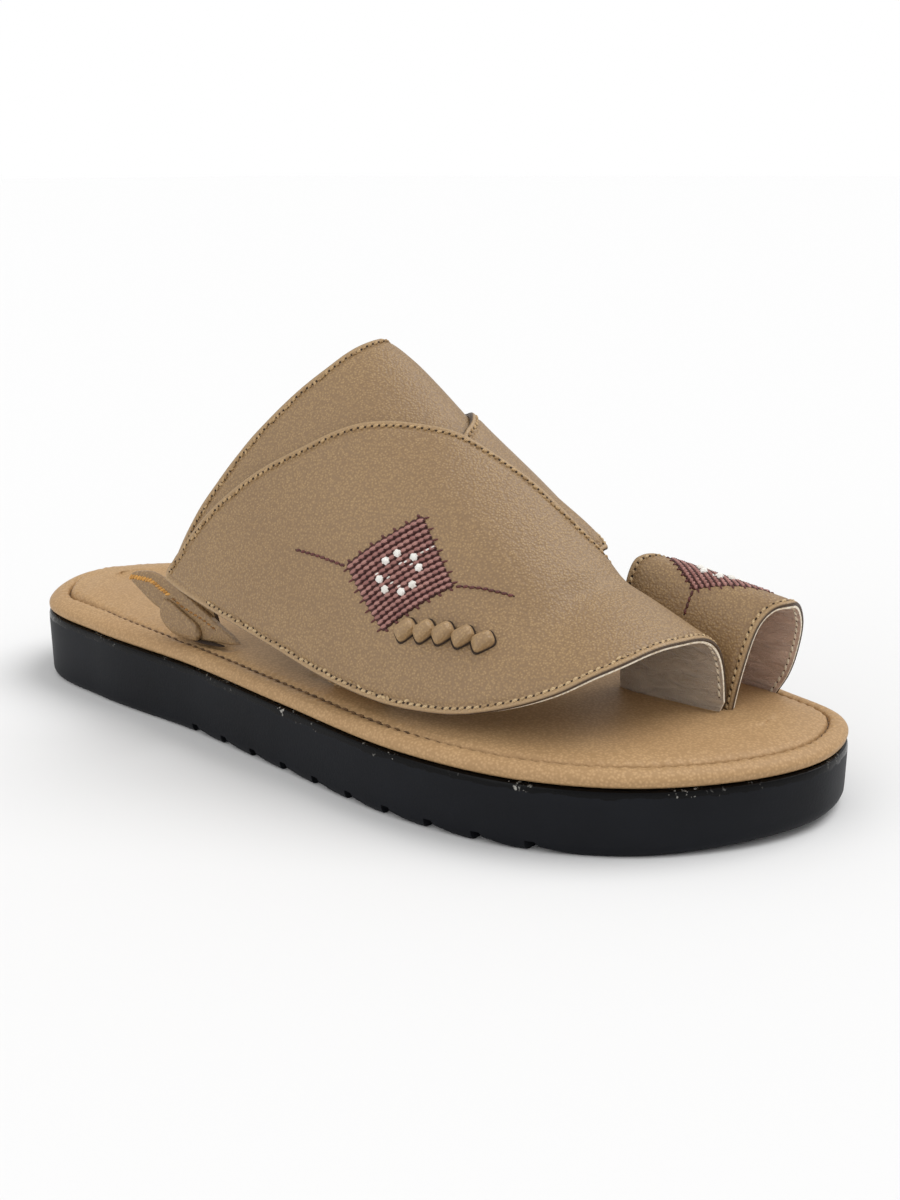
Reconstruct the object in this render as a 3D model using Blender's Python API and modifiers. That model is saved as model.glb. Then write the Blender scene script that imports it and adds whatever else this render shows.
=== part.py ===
"""Arabic sandal for the right foot, standing empty on its sole.

A black rubber outsole carries a padded insole. A wide instep band, an inner flap and an outer flap
are joined where they cross and make the upper. A loop holds the big toe, an ear closes the outer end
of the band, and a lace woven through the outer flap shows as a row of leather knots.

Frame: +X to the toe, -Y to the outer side of the foot, +Z up, origin on the floor under the middle.
All sizes below are millimetres, and MM turns them into Blender's metres.
"""

import math
from collections import namedtuple

import bmesh
import bpy
import numpy as np
from mathutils import Matrix, Vector

MM = 0.001
OUT, IN, BOTH = 1, -1, 0

# Driving dimensions
SOLE_LENGTH = 280.0
TOE_TIP_Y = 14.0
LEATHER = 1.8
SEAT_GAP = 0.3
LAYER_PITCH = LEATHER + SEAT_GAP
LAYER_BITE = 1.2
SLOT_CLEARANCE = 0.4
SLOT_FLOOR = 1.6

# Outline of the sole: distance of the outer and the inner edge from the middle line at each station
SoleStation = namedtuple("SoleStation", "x outer inner")
SOLE_OUTLINE = (
    SoleStation(x=-123, outer=30.0, inner=30.0),
    SoleStation(x=-88, outer=38.3, inner=38.3),
    SoleStation(x=-42, outer=41.2, inner=37.8),
    SoleStation(x=0, outer=47.2, inner=40.2),
    SoleStation(x=50, outer=53.3, inner=51.4),
    SoleStation(x=86, outer=48.6, inner=52.2),
    SoleStation(x=113, outer=34.0, inner=45.6),
    SoleStation(x=133.5, outer=8.4, inner=36.0),
)
SIDE_POINTS = 44

# Height of the outsole's top edge, and how far its bottom lifts at the toe
SoleLevel = namedtuple("SoleLevel", "x top spring")
SOLE_LEVELS = (
    SoleLevel(x=-140, top=22.5, spring=0.0),
    SoleLevel(x=-70, top=21.4, spring=0.0),
    SoleLevel(x=0, top=19.7, spring=0.0),
    SoleLevel(x=50, top=18.6, spring=0.0),
    SoleLevel(x=108, top=18.0, spring=0.0),
    SoleLevel(x=140, top=17.8, spring=2.2),
)

# Side of the outsole, from the floor up: rise is measured from the bottom, drop from the top edge
SoleRing = namedtuple("SoleRing", "inset rise drop")
SOLE_SIDE = (
    SoleRing(inset=2.4, rise=0.0, drop=None),
    SoleRing(inset=0.9, rise=0.7, drop=None),
    SoleRing(inset=0.3, rise=2.2, drop=None),
    SoleRing(inset=0.0, rise=None, drop=1.4),
    SoleRing(inset=0.5, rise=None, drop=0.0),
)

# Saw-tooth grooves across the tread, from the waist to the ball
GROOVE_COUNT = 10
GROOVE_FIRST_X = -42.0
GROOVE_PITCH = 14.35
GROOVE_DEPTH = 2.9
GROOVE_FLAT = 2.4
GROOVE_RAMP = 3.4

# Insole from its outer edge inwards: rolled rim, stitched channel, padded middle
InsoleRing = namedtuple("InsoleRing", "inset height")
INSOLE_SECTION = (
    InsoleRing(inset=1.4, height=0.3),
    InsoleRing(inset=0.3, height=1.7),
    InsoleRing(inset=0.5, height=3.3),
    InsoleRing(inset=2.2, height=4.7),
    InsoleRing(inset=5.0, height=5.2),
    InsoleRing(inset=7.6, height=4.7),
    InsoleRing(inset=9.2, height=3.6),
    InsoleRing(inset=10.8, height=4.7),
    InsoleRing(inset=14.0, height=5.6),
    InsoleRing(inset=19.0, height=6.1),
)
INSOLE_CROWN = 6.4

# Form of the instep: crest line, where each side meets the insole, and how square each side is
FormStation = namedtuple("FormStation", "x crest_y crest_z outer_y inner_y outer_full inner_full")
INSTEP_FORM = (
    FormStation(x=-62, crest_y=3, crest_z=128.0, outer_y=-38.0, inner_y=34,
                outer_full=1.55, inner_full=1.55),
    FormStation(x=-30, crest_y=4, crest_z=124.0, outer_y=-42.0, inner_y=36,
                outer_full=1.55, inner_full=1.55),
    FormStation(x=0, crest_y=4, crest_z=114.3, outer_y=-44.5, inner_y=38,
                outer_full=1.55, inner_full=1.55),
    FormStation(x=30, crest_y=4, crest_z=92.4, outer_y=-46.0, inner_y=40,
                outer_full=1.55, inner_full=1.55),
    FormStation(x=54, crest_y=4, crest_z=75.4, outer_y=-44.5, inner_y=36,
                outer_full=1.55, inner_full=1.55),
    FormStation(x=74, crest_y=3, crest_z=58.2, outer_y=-41.5, inner_y=12,
                outer_full=1.6, inner_full=1.9),
    FormStation(x=90, crest_y=0, crest_z=51.4, outer_y=-39.5, inner_y=11,
                outer_full=1.8, inner_full=2.7),
    FormStation(x=112, crest_y=-5, crest_z=42.1, outer_y=-40.0, inner_y=11,
                outer_full=2.1, inner_full=3.4),
)

# Straps on the form: turn runs round it in degrees, 0 at the outer base, 90 on the crest, 180 inside
StrapRow = namedtuple("StrapRow", "turn rear_x front_x")
BAND_OUTER_HALF = (
    StrapRow(turn=0, rear_x=4, front_x=32),
    StrapRow(turn=8, rear_x=0, front_x=32),
    StrapRow(turn=14.5, rear_x=-8, front_x=32),
    StrapRow(turn=16.3, rear_x=-28, front_x=32),
    StrapRow(turn=18.3, rear_x=-52, front_x=32),
    StrapRow(turn=29, rear_x=-44.5, front_x=33),
    StrapRow(turn=41, rear_x=-32.5, front_x=36),
    StrapRow(turn=57, rear_x=-17.5, front_x=42),
    StrapRow(turn=70, rear_x=-9, front_x=48),
)
BAND_CREST = StrapRow(turn=90, rear_x=-3.5, front_x=54)
BAND_TUCK = 12.0
BAND_TUCK_HEIGHT = 19.0
INNER_FLAP = (
    StrapRow(turn=66, rear_x=35, front_x=66),
    StrapRow(turn=80, rear_x=30.5, front_x=70),
    StrapRow(turn=90, rear_x=28.5, front_x=69),
    StrapRow(turn=106, rear_x=22.5, front_x=66),
    StrapRow(turn=125, rear_x=8, front_x=62),
    StrapRow(turn=145, rear_x=-10, front_x=55),
    StrapRow(turn=158, rear_x=-16, front_x=47),
    StrapRow(turn=165, rear_x=-6, front_x=38),
    StrapRow(turn=168.5, rear_x=8, front_x=26),
)
INNER_FLAP_FLARE = 3.6

# Outer flap: each row crosses it from the free lower and front edge to the upper edge and the toe slot
FlapRow = namedtuple("FlapRow", "edge_x edge_turn crest_x crest_turn")
OUTER_FLAP = (
    FlapRow(edge_x=-51, edge_turn=18.2, crest_x=-50.5, crest_turn=20),
    FlapRow(edge_x=-44, edge_turn=17.2, crest_x=-45, crest_turn=24.5),
    FlapRow(edge_x=-27, edge_turn=15.6, crest_x=-36, crest_turn=31.5),
    FlapRow(edge_x=-6, edge_turn=14, crest_x=-22, crest_turn=40),
    FlapRow(edge_x=19, edge_turn=12, crest_x=-4, crest_turn=50.5),
    FlapRow(edge_x=40, edge_turn=11.4, crest_x=12, crest_turn=63.5),
    FlapRow(edge_x=58, edge_turn=13.9, crest_x=30, crest_turn=78),
    FlapRow(edge_x=73.5, edge_turn=21.6, crest_x=48, crest_turn=85),
    FlapRow(edge_x=88, edge_turn=33.2, crest_x=61, crest_turn=90),
    FlapRow(edge_x=94, edge_turn=43.7, crest_x=69, crest_turn=98),
    FlapRow(edge_x=99.5, edge_turn=57, crest_x=74, crest_turn=120),
    FlapRow(edge_x=103, edge_turn=74, crest_x=75, crest_turn=150),
    FlapRow(edge_x=105.5, edge_turn=90, crest_x=76, crest_turn=180),
    FlapRow(edge_x=106.8, edge_turn=110, crest_x=86, crest_turn=180),
    FlapRow(edge_x=108, edge_turn=140, crest_x=97, crest_turn=180),
    FlapRow(edge_x=108.6, edge_turn=172, crest_x=106.5, crest_turn=180),
)

# Big-toe loop: its own form and its strap
TOE_FORM = (
    FormStation(x=70, crest_y=28.5, crest_z=59.1, outer_y=18.2, inner_y=40.5,
                outer_full=2.1, inner_full=2.1),
    FormStation(x=122, crest_y=28.5, crest_z=51.2, outer_y=18.2, inner_y=40.5,
                outer_full=2.1, inner_full=2.1),
)
TOE_LOOP = (
    StrapRow(turn=0, rear_x=78, front_x=108.5),
    StrapRow(turn=30, rear_x=74, front_x=111.3),
    StrapRow(turn=56, rear_x=72, front_x=113.5),
    StrapRow(turn=73, rear_x=72.3, front_x=116),
    StrapRow(turn=93, rear_x=75, front_x=119.5),
    StrapRow(turn=125, rear_x=78, front_x=118.8),
    StrapRow(turn=150, rear_x=79, front_x=116.3),
    StrapRow(turn=164, rear_x=79.5, front_x=113.8),
    StrapRow(turn=180, rear_x=80, front_x=108.5),
)

# Ear at the outer end of the band: a leaf standing on edge, with a rounded lobe on its outer face
EarRow = namedtuple("EarRow", "x y low high")
EAR_LEAF = (
    EarRow(x=-73.6, y=-35.0, low=42.0, high=43.6),
    EarRow(x=-70.7, y=-34.8, low=39.4, high=44.8),
    EarRow(x=-65.0, y=-34.3, low=35.3, high=45.3),
    EarRow(x=-60.0, y=-33.9, low=33.0, high=43.6),
    EarRow(x=-55.0, y=-33.5, low=28.8, high=41.5),
    EarRow(x=-50.5, y=-33.1, low=23.5, high=39.5),
    EarRow(x=-42.5, y=-32.5, low=23.5, high=35.2),
    EarRow(x=-36.5, y=-32.0, low=24.5, high=32.9),
    EarRow(x=-31.0, y=-31.5, low=27.8, high=31.6),
)
EAR_LOBE = (
    EarRow(x=-59.3, y=-35.7, low=32.6, high=36.4),
    EarRow(x=-57.5, y=-35.5, low=29.8, high=39.6),
    EarRow(x=-54.0, y=-35.2, low=27.6, high=39.2),
    EarRow(x=-50.0, y=-34.9, low=27.0, high=37.2),
    EarRow(x=-46.0, y=-34.6, low=27.0, high=35.0),
    EarRow(x=-43.0, y=-34.3, low=27.6, high=33.0),
)
EAR_THICKNESS = 2.4
LOBE_THICKNESS = 2.0

# Lace knots on the outer flap: a diamond with rounded corners, given in its own plane
KNOT_COUNT = 5
KNOT_FIRST_X, KNOT_LAST_X = 42.5, 62.6
KNOT_FIRST_TURN, KNOT_LAST_TURN = 30.3, 37.4
KnotCorner = namedtuple("KnotCorner", "along up")
KNOT_CORNERS = (
    KnotCorner(along=-3.4, up=-1.8),
    KnotCorner(along=0.4, up=-4.4),
    KnotCorner(along=3.3, up=1.2),
    KnotCorner(along=-0.4, up=3.1),
)
KNOT_RISE = 2.2
KNOT_CORNER_RADIUS = 1.0
KNOT_EDGE_RADIUS = 0.8
LACE_WIDTH = 3.0
LACE_THICKNESS = 0.9
LACE_LIFT = 0.5

Finish = namedtuple("Finish", "colour roughness")
FINISHES = {
    "black_rubber": Finish(colour=(0.016, 0.017, 0.020), roughness=0.45),
    "tan_insole": Finish(colour=(0.33, 0.21, 0.115), roughness=0.62),
    "tan_leather": Finish(colour=(0.26, 0.175, 0.10), roughness=0.60),
}


def clear_scene():
    """Takes every object out of the scene."""
    for obj in list(bpy.data.objects):
        bpy.data.objects.remove(obj)


def collection(name, hidden=False):
    """A new collection in the scene."""
    made = bpy.data.collections.new(name)
    made.hide_render = hidden
    bpy.context.scene.collection.children.link(made)
    return made


def material(name):
    """Principled material of one finish."""
    made = bpy.data.materials.get(name) or bpy.data.materials.new(name)
    made.use_nodes = True
    shader = made.node_tree.nodes["Principled BSDF"]
    shader.inputs["Base Color"].default_value = (*FINISHES[name].colour, 1.0)
    shader.inputs["Roughness"].default_value = FINISHES[name].roughness
    return made


def place(name, bm, finish, group, as_helper=False):
    """Turns a bmesh in millimetres into a named object in metres."""
    bmesh.ops.scale(bm, vec=(MM, MM, MM), verts=bm.verts)
    mesh = bpy.data.meshes.new(name)
    bm.to_mesh(mesh)
    bm.free()
    mesh.shade_smooth()
    mesh.set_sharp_from_angle(angle=math.radians(40))
    obj = bpy.data.objects.new(name, mesh)
    group.objects.link(obj)
    obj.data.materials.append(material(finish))
    if as_helper:
        obj.hide_render = True
        obj.display_type = "WIRE"
    return obj


def column(table, name, at, key="x"):
    """Value of one column between the table's rows: a cubic that never overshoots them."""
    keys = [getattr(row, key) for row in table]
    values = [getattr(row, name) for row in table]
    if at <= keys[0]:
        return values[0]
    if at >= keys[-1]:
        return values[-1]
    steps = np.diff(values) / np.diff(keys)
    slopes = np.zeros(len(keys))
    slopes[0], slopes[-1] = steps[0], steps[-1]
    for i in range(1, len(keys) - 1):
        if steps[i - 1] * steps[i] > 0:
            slopes[i] = 2 * steps[i - 1] * steps[i] / (steps[i - 1] + steps[i])
    i = int(np.searchsorted(keys, at)) - 1
    span = keys[i + 1] - keys[i]
    t = (at - keys[i]) / span
    return (
        values[i] * (1 + 2 * t) * (1 - t) ** 2
        + slopes[i] * span * t * (1 - t) ** 2
        + values[i + 1] * t * t * (3 - 2 * t)
        - slopes[i + 1] * span * t * t * (1 - t)
    )


def ramp(low, high, value):
    """0 below low, 1 above high, smooth between them."""
    t = min(1.0, max(0.0, (value - low) / (high - low)))
    return t * t * (3 - 2 * t)


def along(rows, count):
    """Positions 0 to 1 along a table of rows, evenly spaced, as keys for column()."""
    Keyed = namedtuple("Keyed", ("key",) + rows[0]._fields)
    keyed = [Keyed(i, *row) for i, row in enumerate(rows)]
    return keyed, np.linspace(0, len(rows) - 1, count)


def closed_curve(points, per_span=24):
    """Dense points of a smooth closed curve through the given ones (centripetal Catmull-Rom)."""
    points = np.array(points, float)
    count = len(points)
    dense = []
    for i in range(count):
        p0, p1, p2, p3 = (points[(i + k - 1) % count] for k in range(4))
        knots = np.cumsum([0] + [np.linalg.norm(b - a) ** 0.5 for a, b in ((p0, p1), (p1, p2), (p2, p3))])
        for t in np.linspace(knots[1], knots[2], per_span, endpoint=False):
            a1 = (p0 * (knots[1] - t) + p1 * (t - knots[0])) / (knots[1] - knots[0])
            a2 = (p1 * (knots[2] - t) + p2 * (t - knots[1])) / (knots[2] - knots[1])
            a3 = (p2 * (knots[3] - t) + p3 * (t - knots[2])) / (knots[3] - knots[2])
            b1 = (a1 * (knots[2] - t) + a2 * (t - knots[0])) / (knots[2] - knots[0])
            b2 = (a2 * (knots[3] - t) + a3 * (t - knots[1])) / (knots[3] - knots[1])
            dense.append((b1 * (knots[2] - t) + b2 * (t - knots[1])) / (knots[2] - knots[1]))
    return np.array(dense)


def resample(points, count):
    """Points spaced evenly along an open line, both ends kept."""
    lengths = np.concatenate([[0], np.cumsum(np.linalg.norm(np.diff(points, axis=0), axis=1))])
    wanted = np.linspace(0, lengths[-1], count)
    return np.stack([np.interp(wanted, lengths, points[:, k]) for k in range(2)], axis=1)


def sole_outline():
    """Outline of the sole as a ring: heel tip, outer side, toe tip, inner side."""
    half = SOLE_LENGTH / 2
    per_span = 24
    outer = [(s.x, -s.outer) for s in SOLE_OUTLINE]
    inner = [(s.x, s.inner) for s in reversed(SOLE_OUTLINE)]
    dense = closed_curve([(-half, 0.0), *outer, (half, TOE_TIP_Y), *inner], per_span)
    toe = (len(SOLE_OUTLINE) + 1) * per_span
    outer_side = resample(dense[: toe + 1], SIDE_POINTS + 1)
    inner_side = resample(np.vstack([dense[toe:], dense[:1]]), SIDE_POINTS + 1)
    return np.vstack([outer_side[:-1], inner_side[:-1]])


def inset(ring, distance):
    """The ring moved inwards along its normals."""
    tangent = np.roll(ring, -1, axis=0) - np.roll(ring, 1, axis=0)
    tangent /= np.linalg.norm(tangent, axis=1)[:, None]
    return ring + distance * np.stack([-tangent[:, 1], tangent[:, 0]], axis=1)


def sole_top(x):
    """Height of the outsole's top edge."""
    return column(SOLE_LEVELS, "top", x)


def add_ring(bm, flat, height):
    """Vertices over a flat ring, at a height given for each x."""
    return [bm.verts.new((x, y, height(x))) for x, y in flat]


def join_rings(bm, rings):
    """Quads between each ring and the next."""
    for low, high in zip(rings, rings[1:]):
        for i in range(len(low)):
            j = (i + 1) % len(low)
            bm.faces.new((low[i], low[j], high[j], high[i]))


def cap_ring(bm, ring):
    """Strips across a ring, each from its outer to its inner side."""
    count = len(ring)
    half = count // 2
    bm.faces.new((ring[0], ring[1], ring[-1]))
    for i in range(1, half - 1):
        bm.faces.new((ring[i], ring[i + 1], ring[count - i - 1], ring[count - i]))
    bm.faces.new((ring[half - 1], ring[half], ring[half + 1]))


def build_outsole(parts, cutters):
    """Rubber sole: side rings between a flat tread and the top edge, with grooves cut across the tread."""
    outline = sole_outline()
    bm = bmesh.new()
    rings = []
    for side in SOLE_SIDE:
        if side.drop is None:
            rings.append(add_ring(bm, inset(outline, side.inset),
                                  lambda x, up=side.rise: up + column(SOLE_LEVELS, "spring", x)))
        else:
            rings.append(add_ring(bm, inset(outline, side.inset),
                                  lambda x, down=side.drop: sole_top(x) - down))
    join_rings(bm, rings)
    cap_ring(bm, rings[0])
    cap_ring(bm, rings[-1])
    bmesh.ops.recalc_face_normals(bm, faces=bm.faces)
    outsole = place("outsole", bm, "black_rubber", parts)
    cut(outsole, build_tread_cutter(cutters))
    return outsole


def build_tread_cutter(cutters):
    """All tread grooves as one cutter: a steep wall to the heel, a ramp to the toe."""
    bm = bmesh.new()
    reach = SOLE_OUTLINE[4].outer + 10
    for i in range(GROOVE_COUNT):
        x = GROOVE_FIRST_X + i * GROOVE_PITCH
        section = ((x, -5), (x, GROOVE_DEPTH), (x + GROOVE_FLAT, GROOVE_DEPTH),
                   (x + GROOVE_FLAT + GROOVE_RAMP, -0.4), (x + GROOVE_FLAT + GROOVE_RAMP, -5))
        face = bm.faces.new([bm.verts.new((px, -reach, pz)) for px, pz in section])
        grown = bmesh.ops.extrude_face_region(bm, geom=[face])["geom"]
        moved = [v for v in grown if isinstance(v, bmesh.types.BMVert)]
        bmesh.ops.translate(bm, verts=moved, vec=(0, 2 * reach, 0))
    bmesh.ops.recalc_face_normals(bm, faces=bm.faces)
    return place("tread_cutter", bm, "black_rubber", cutters, as_helper=True)


def build_insole(parts):
    """Padded insole: rolled rim, stitched channel and crowned middle on the outsole's outline."""
    outline = sole_outline()
    bm = bmesh.new()
    rings = []
    for step in INSOLE_SECTION:
        rings.append(add_ring(bm, inset(outline, step.inset), lambda x, up=step.height: sole_top(x) + up))
    last = inset(outline, INSOLE_SECTION[-1].inset)
    partner = np.roll(last[::-1], 1, axis=0)
    rings.append(add_ring(bm, 0.75 * last + 0.25 * partner, lambda x: sole_top(x) + INSOLE_CROWN))
    join_rings(bm, rings)
    cap_ring(bm, rings[0])
    cap_ring(bm, rings[-1])
    bmesh.ops.recalc_face_normals(bm, faces=bm.faces)
    return place("insole", bm, "tan_insole", parts)


def form_row(form, x):
    """The form's section at x, with its floor at the bottom of the insole's slots."""
    values = {name: column(form, name, x) for name in FormStation._fields[1:]}
    return FormStation(x=x, **values), sole_top(x) + SLOT_FLOOR


def form_point(form, x, turn):
    """Point on the form's skin, turn degrees round the section at x."""
    row, floor = form_row(form, x)
    side, full = (row.outer_y, row.outer_full) if turn < 90 else (row.inner_y, row.inner_full)
    power = 2 / full
    cosine, sine = math.cos(math.radians(turn)), math.sin(math.radians(turn))
    y = row.crest_y + (side - row.crest_y) * abs(cosine) ** power
    return Vector((x, y, floor + (row.crest_z - floor) * abs(sine) ** power))


def form_level(form, point):
    """1 on the form's skin, more outside it."""
    row, floor = form_row(form, point.x)
    outer = point.y < row.crest_y
    side, full = (row.outer_y, row.outer_full) if outer else (row.inner_y, row.inner_full)
    across = abs((point.y - row.crest_y) / (side - row.crest_y))
    up = max(point.z - floor, 0.0) / (row.crest_z - floor)
    return across ** full + up ** full


def form_normal(form, point, step=0.2):
    """Direction out of the form at a point on its skin."""
    slope = []
    for axis in range(3):
        shift = Vector((0, 0, 0))
        shift[axis] = step
        slope.append(form_level(form, point + shift) - form_level(form, point - shift))
    return Vector(slope).normalized()


def lifted(form, x, turn, lift):
    """Point off the form's skin by lift."""
    point = form_point(form, x, turn)
    return point + form_normal(form, point) * lift


def sheet(name, points, thickness, side, finish, group, weights=None, thin=1.0, as_helper=False):
    """Leather sheet: a grid laid through rows of points and thickened outwards, inwards or both ways."""
    rows, columns = len(points), len(points[0])
    bm = bmesh.new()
    bmesh.ops.create_grid(bm, x_segments=columns - 1, y_segments=rows - 1, size=1.0)
    order = sorted(bm.verts, key=lambda v: (round(v.co.y, 4), round(v.co.x, 4)))
    for i, vert in enumerate(order):
        vert.co = points[i // columns][i % columns]
        vert.index = i
    bm.verts.sort()
    bmesh.ops.recalc_face_normals(bm, faces=bm.faces)
    face_out(bm, points)
    obj = place(name, bm, finish, group, as_helper)
    wall = obj.modifiers.new("wall", "SOLIDIFY")
    wall.thickness = thickness * MM
    wall.offset = side
    wall.use_even_offset = True
    wall.use_quality_normals = True
    if weights:
        backed = obj.vertex_groups.new(name="backed")
        for i, weight in enumerate(w for row in weights for w in row):
            backed.add([i], weight, "REPLACE")
        wall.vertex_group = backed.name
        wall.thickness_vertex_group = thin
    return obj


def face_out(bm, points):
    """Turns an open sheet so that its faces point away from the foot, on a sheet that arches over it."""
    middle = sum((p for row in points for p in row), Vector()) / (len(points) * len(points[0]))
    hollow = Vector((middle.x, points[len(points) // 2][len(points[0]) // 2].y, 0.0))
    outward = sum(f.normal.dot(f.calc_center_median() - hollow) * f.calc_area() for f in bm.faces)
    if outward < 0:
        bmesh.ops.reverse_faces(bm, faces=bm.faces)


def applied(obj):
    """The object with its modifiers made part of its mesh."""
    graph = bpy.context.evaluated_depsgraph_get()
    mesh = bpy.data.meshes.new_from_object(obj.evaluated_get(graph))
    obj.modifiers.clear()
    obj.data = mesh
    return obj


def strap_points(form, rows, lift, across, lengthwise):
    """Rows of points on a strap, from its rear to its front edge at each turn round the form."""
    keyed, places = along(rows, across)
    points, stations = [], []
    for at in places:
        turn, rear, front = (column(keyed, name, at, key="key") for name in StrapRow._fields)
        xs = np.linspace(rear, front, lengthwise)
        points.append([lifted(form, x, turn, lift(x, turn)) for x in xs])
        stations.append([(x, turn) for x in xs])
    return points, stations


def tucked(point):
    """Band point drawn in towards the foot near the insole, where the flaps flare away from it."""
    floor = sole_top(point.x) + SLOT_FLOOR
    pull = BAND_TUCK * (1 - ramp(0, BAND_TUCK_HEIGHT, point.z - floor))
    return Vector((point.x, point.y + math.copysign(pull, -point.y), point.z))


def instep_band():
    """Rows of the instep band, its inner half the mirror of its outer one."""
    mirrored = [row._replace(turn=180 - row.turn) for row in reversed(BAND_OUTER_HALF)]
    return (*BAND_OUTER_HALF, BAND_CREST, *mirrored)


def band_under(x, turn, margin=5.0):
    """1 where the band lies close under a flap, 0 where the flap is free of it."""
    rear = column(instep_band(), "rear_x", turn, key="turn")
    front = column(instep_band(), "front_x", turn, key="turn")
    height = form_point(INSTEP_FORM, x, turn).z - sole_top(x) - SLOT_FLOOR
    clear_of_tuck = ramp(BAND_TUCK_HEIGHT + 4, BAND_TUCK_HEIGHT + 10, height)
    return ramp(rear, rear + margin, x) * (1 - ramp(front - 2 * margin, front - margin, x)) * clear_of_tuck


def over_inner_flap(x, turn, margin=12.0):
    """1 where the outer flap lies on the inner flap's end, 0 where it has come down beside it."""
    first = INNER_FLAP[0]
    rear = column(INNER_FLAP, "rear_x", turn, key="turn")
    front = column(INNER_FLAP, "front_x", turn, key="turn")
    beside = ramp(rear - margin, rear - 2, x) * (1 - ramp(front + 2, front + margin, x))
    return beside * ramp(first.turn - 22, first.turn - 4, turn)


def build_band(parts):
    """Instep band, from its slot on the outer side over the instep to its slot on the inner side."""
    points, _ = strap_points(INSTEP_FORM, instep_band(), lambda x, turn: 0.0, across=37, lengthwise=11)
    points = [[tucked(p) for p in row] for row in points]
    return applied(sheet("upper", points, LEATHER, OUT, "tan_leather", parts))


def inner_flap_lift(x, turn):
    """How far the inner flap's outer face lies off the form: its front corner stands up a little."""
    corner = ramp(52, 68, x) * ramp(92, 104, turn) * (1 - ramp(130, 150, turn))
    return LAYER_PITCH + LEATHER + INNER_FLAP_FLARE * corner


def build_inner_flap(helpers):
    """Inner flap: from under the outer flap over the crest to a free edge above the insole."""
    points, stations = strap_points(INSTEP_FORM, INNER_FLAP, inner_flap_lift, across=21, lengthwise=11)
    weights = [[band_under(x, turn) for x, turn in row] for row in stations]
    thick = LEATHER + LAYER_BITE
    return applied(sheet("inner_flap", points, thick, IN, "tan_leather", helpers,
                         weights, LEATHER / thick, as_helper=True))


def flap_lift(x, turn):
    """How far the outer flap's outer face lies off the form."""
    return LAYER_PITCH + LEATHER + LAYER_PITCH * over_inner_flap(x, turn)


def build_outer_flap(helpers):
    """Outer flap: a leaf from the ankle side to the slot beside the big toe, free at its lower edge."""
    keyed, places = along(OUTER_FLAP, 46)
    points, weights = [], []
    for at in places:
        row = FlapRow(*(column(keyed, name, at, key="key") for name in FlapRow._fields))
        xs = np.linspace(row.edge_x, row.crest_x, 15)
        turns = np.linspace(row.edge_turn, row.crest_turn, 15)
        spots = list(zip(xs, turns))
        points.append([lifted(INSTEP_FORM, x, turn, flap_lift(x, turn)) for x, turn in spots])
        weights.append([max(band_under(x, turn), over_inner_flap(x, turn)) for x, turn in spots])
    thick = LEATHER + LAYER_BITE
    return applied(sheet("outer_flap", points, thick, IN, "tan_leather", helpers,
                         weights, LEATHER / thick, as_helper=True))


def build_toe_loop(parts):
    """Loop over the big toe, both ends in slots of the insole."""
    points, _ = strap_points(TOE_FORM, TOE_LOOP, lambda x, turn: 0.0, across=21, lengthwise=7)
    return applied(sheet("toe_loop", points, LEATHER, OUT, "tan_leather", parts))


def ear_sheet(name, rows, thickness, group, as_helper=False):
    """Upright leaf: each row is a station with its lower and upper edge, thickened to both sides."""
    keyed, places = along(rows, 2 * len(rows) + 1)
    points = []
    for at in places:
        x, y, low, high = (column(keyed, field, at, key="key") for field in EarRow._fields)
        points.append([Vector((x, y, z)) for z in np.linspace(low, high, 5)])
    return applied(sheet(name, points, thickness, BOTH, "tan_leather", group, as_helper=as_helper))


def build_ear(parts, helpers):
    """Ear at the outer end of the band, with its lobe joined to it."""
    ear = ear_sheet("ear", EAR_LEAF, EAR_THICKNESS, parts)
    join(ear, ear_sheet("ear_lobe", EAR_LOBE, LOBE_THICKNESS, helpers, as_helper=True))
    return ear


def flap_frame(x, turn):
    """Axes on the outer flap's outer face: forward along it, up across it, and out of it."""
    here = lifted(INSTEP_FORM, x, turn, flap_lift(x, turn) + SEAT_GAP)
    ahead = lifted(INSTEP_FORM, x + 2, turn, flap_lift(x + 2, turn) + SEAT_GAP)
    out = form_normal(INSTEP_FORM, form_point(INSTEP_FORM, x, turn))
    forward = (ahead - here).normalized()
    across = out.cross(forward).normalized()
    return Matrix((forward, across, forward.cross(across))).transposed().to_4x4(), here


def knot_pad():
    """One knot lying flat: a diamond slab with round corners and a round top edge."""
    bm = bmesh.new()
    base = bm.faces.new([bm.verts.new((corner.along, corner.up, 0)) for corner in KNOT_CORNERS])
    grown = bmesh.ops.extrude_face_region(bm, geom=[base])["geom"]
    top = [v for v in grown if isinstance(v, bmesh.types.BMVert)]
    bmesh.ops.translate(bm, verts=top, vec=(0, 0, KNOT_RISE))
    upright = [e for e in bm.edges if abs(e.verts[0].co.z - e.verts[1].co.z) > KNOT_RISE / 2]
    bmesh.ops.bevel(bm, geom=upright, offset=KNOT_CORNER_RADIUS, segments=2, profile=0.5, affect="EDGES")
    brim = [e for e in bm.edges if min(v.co.z for v in e.verts) > KNOT_RISE * 0.9]
    bmesh.ops.bevel(bm, geom=brim, offset=KNOT_EDGE_RADIUS, segments=2, profile=0.5, affect="EDGES")
    bmesh.ops.recalc_face_normals(bm, faces=bm.faces)
    return bm


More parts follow.
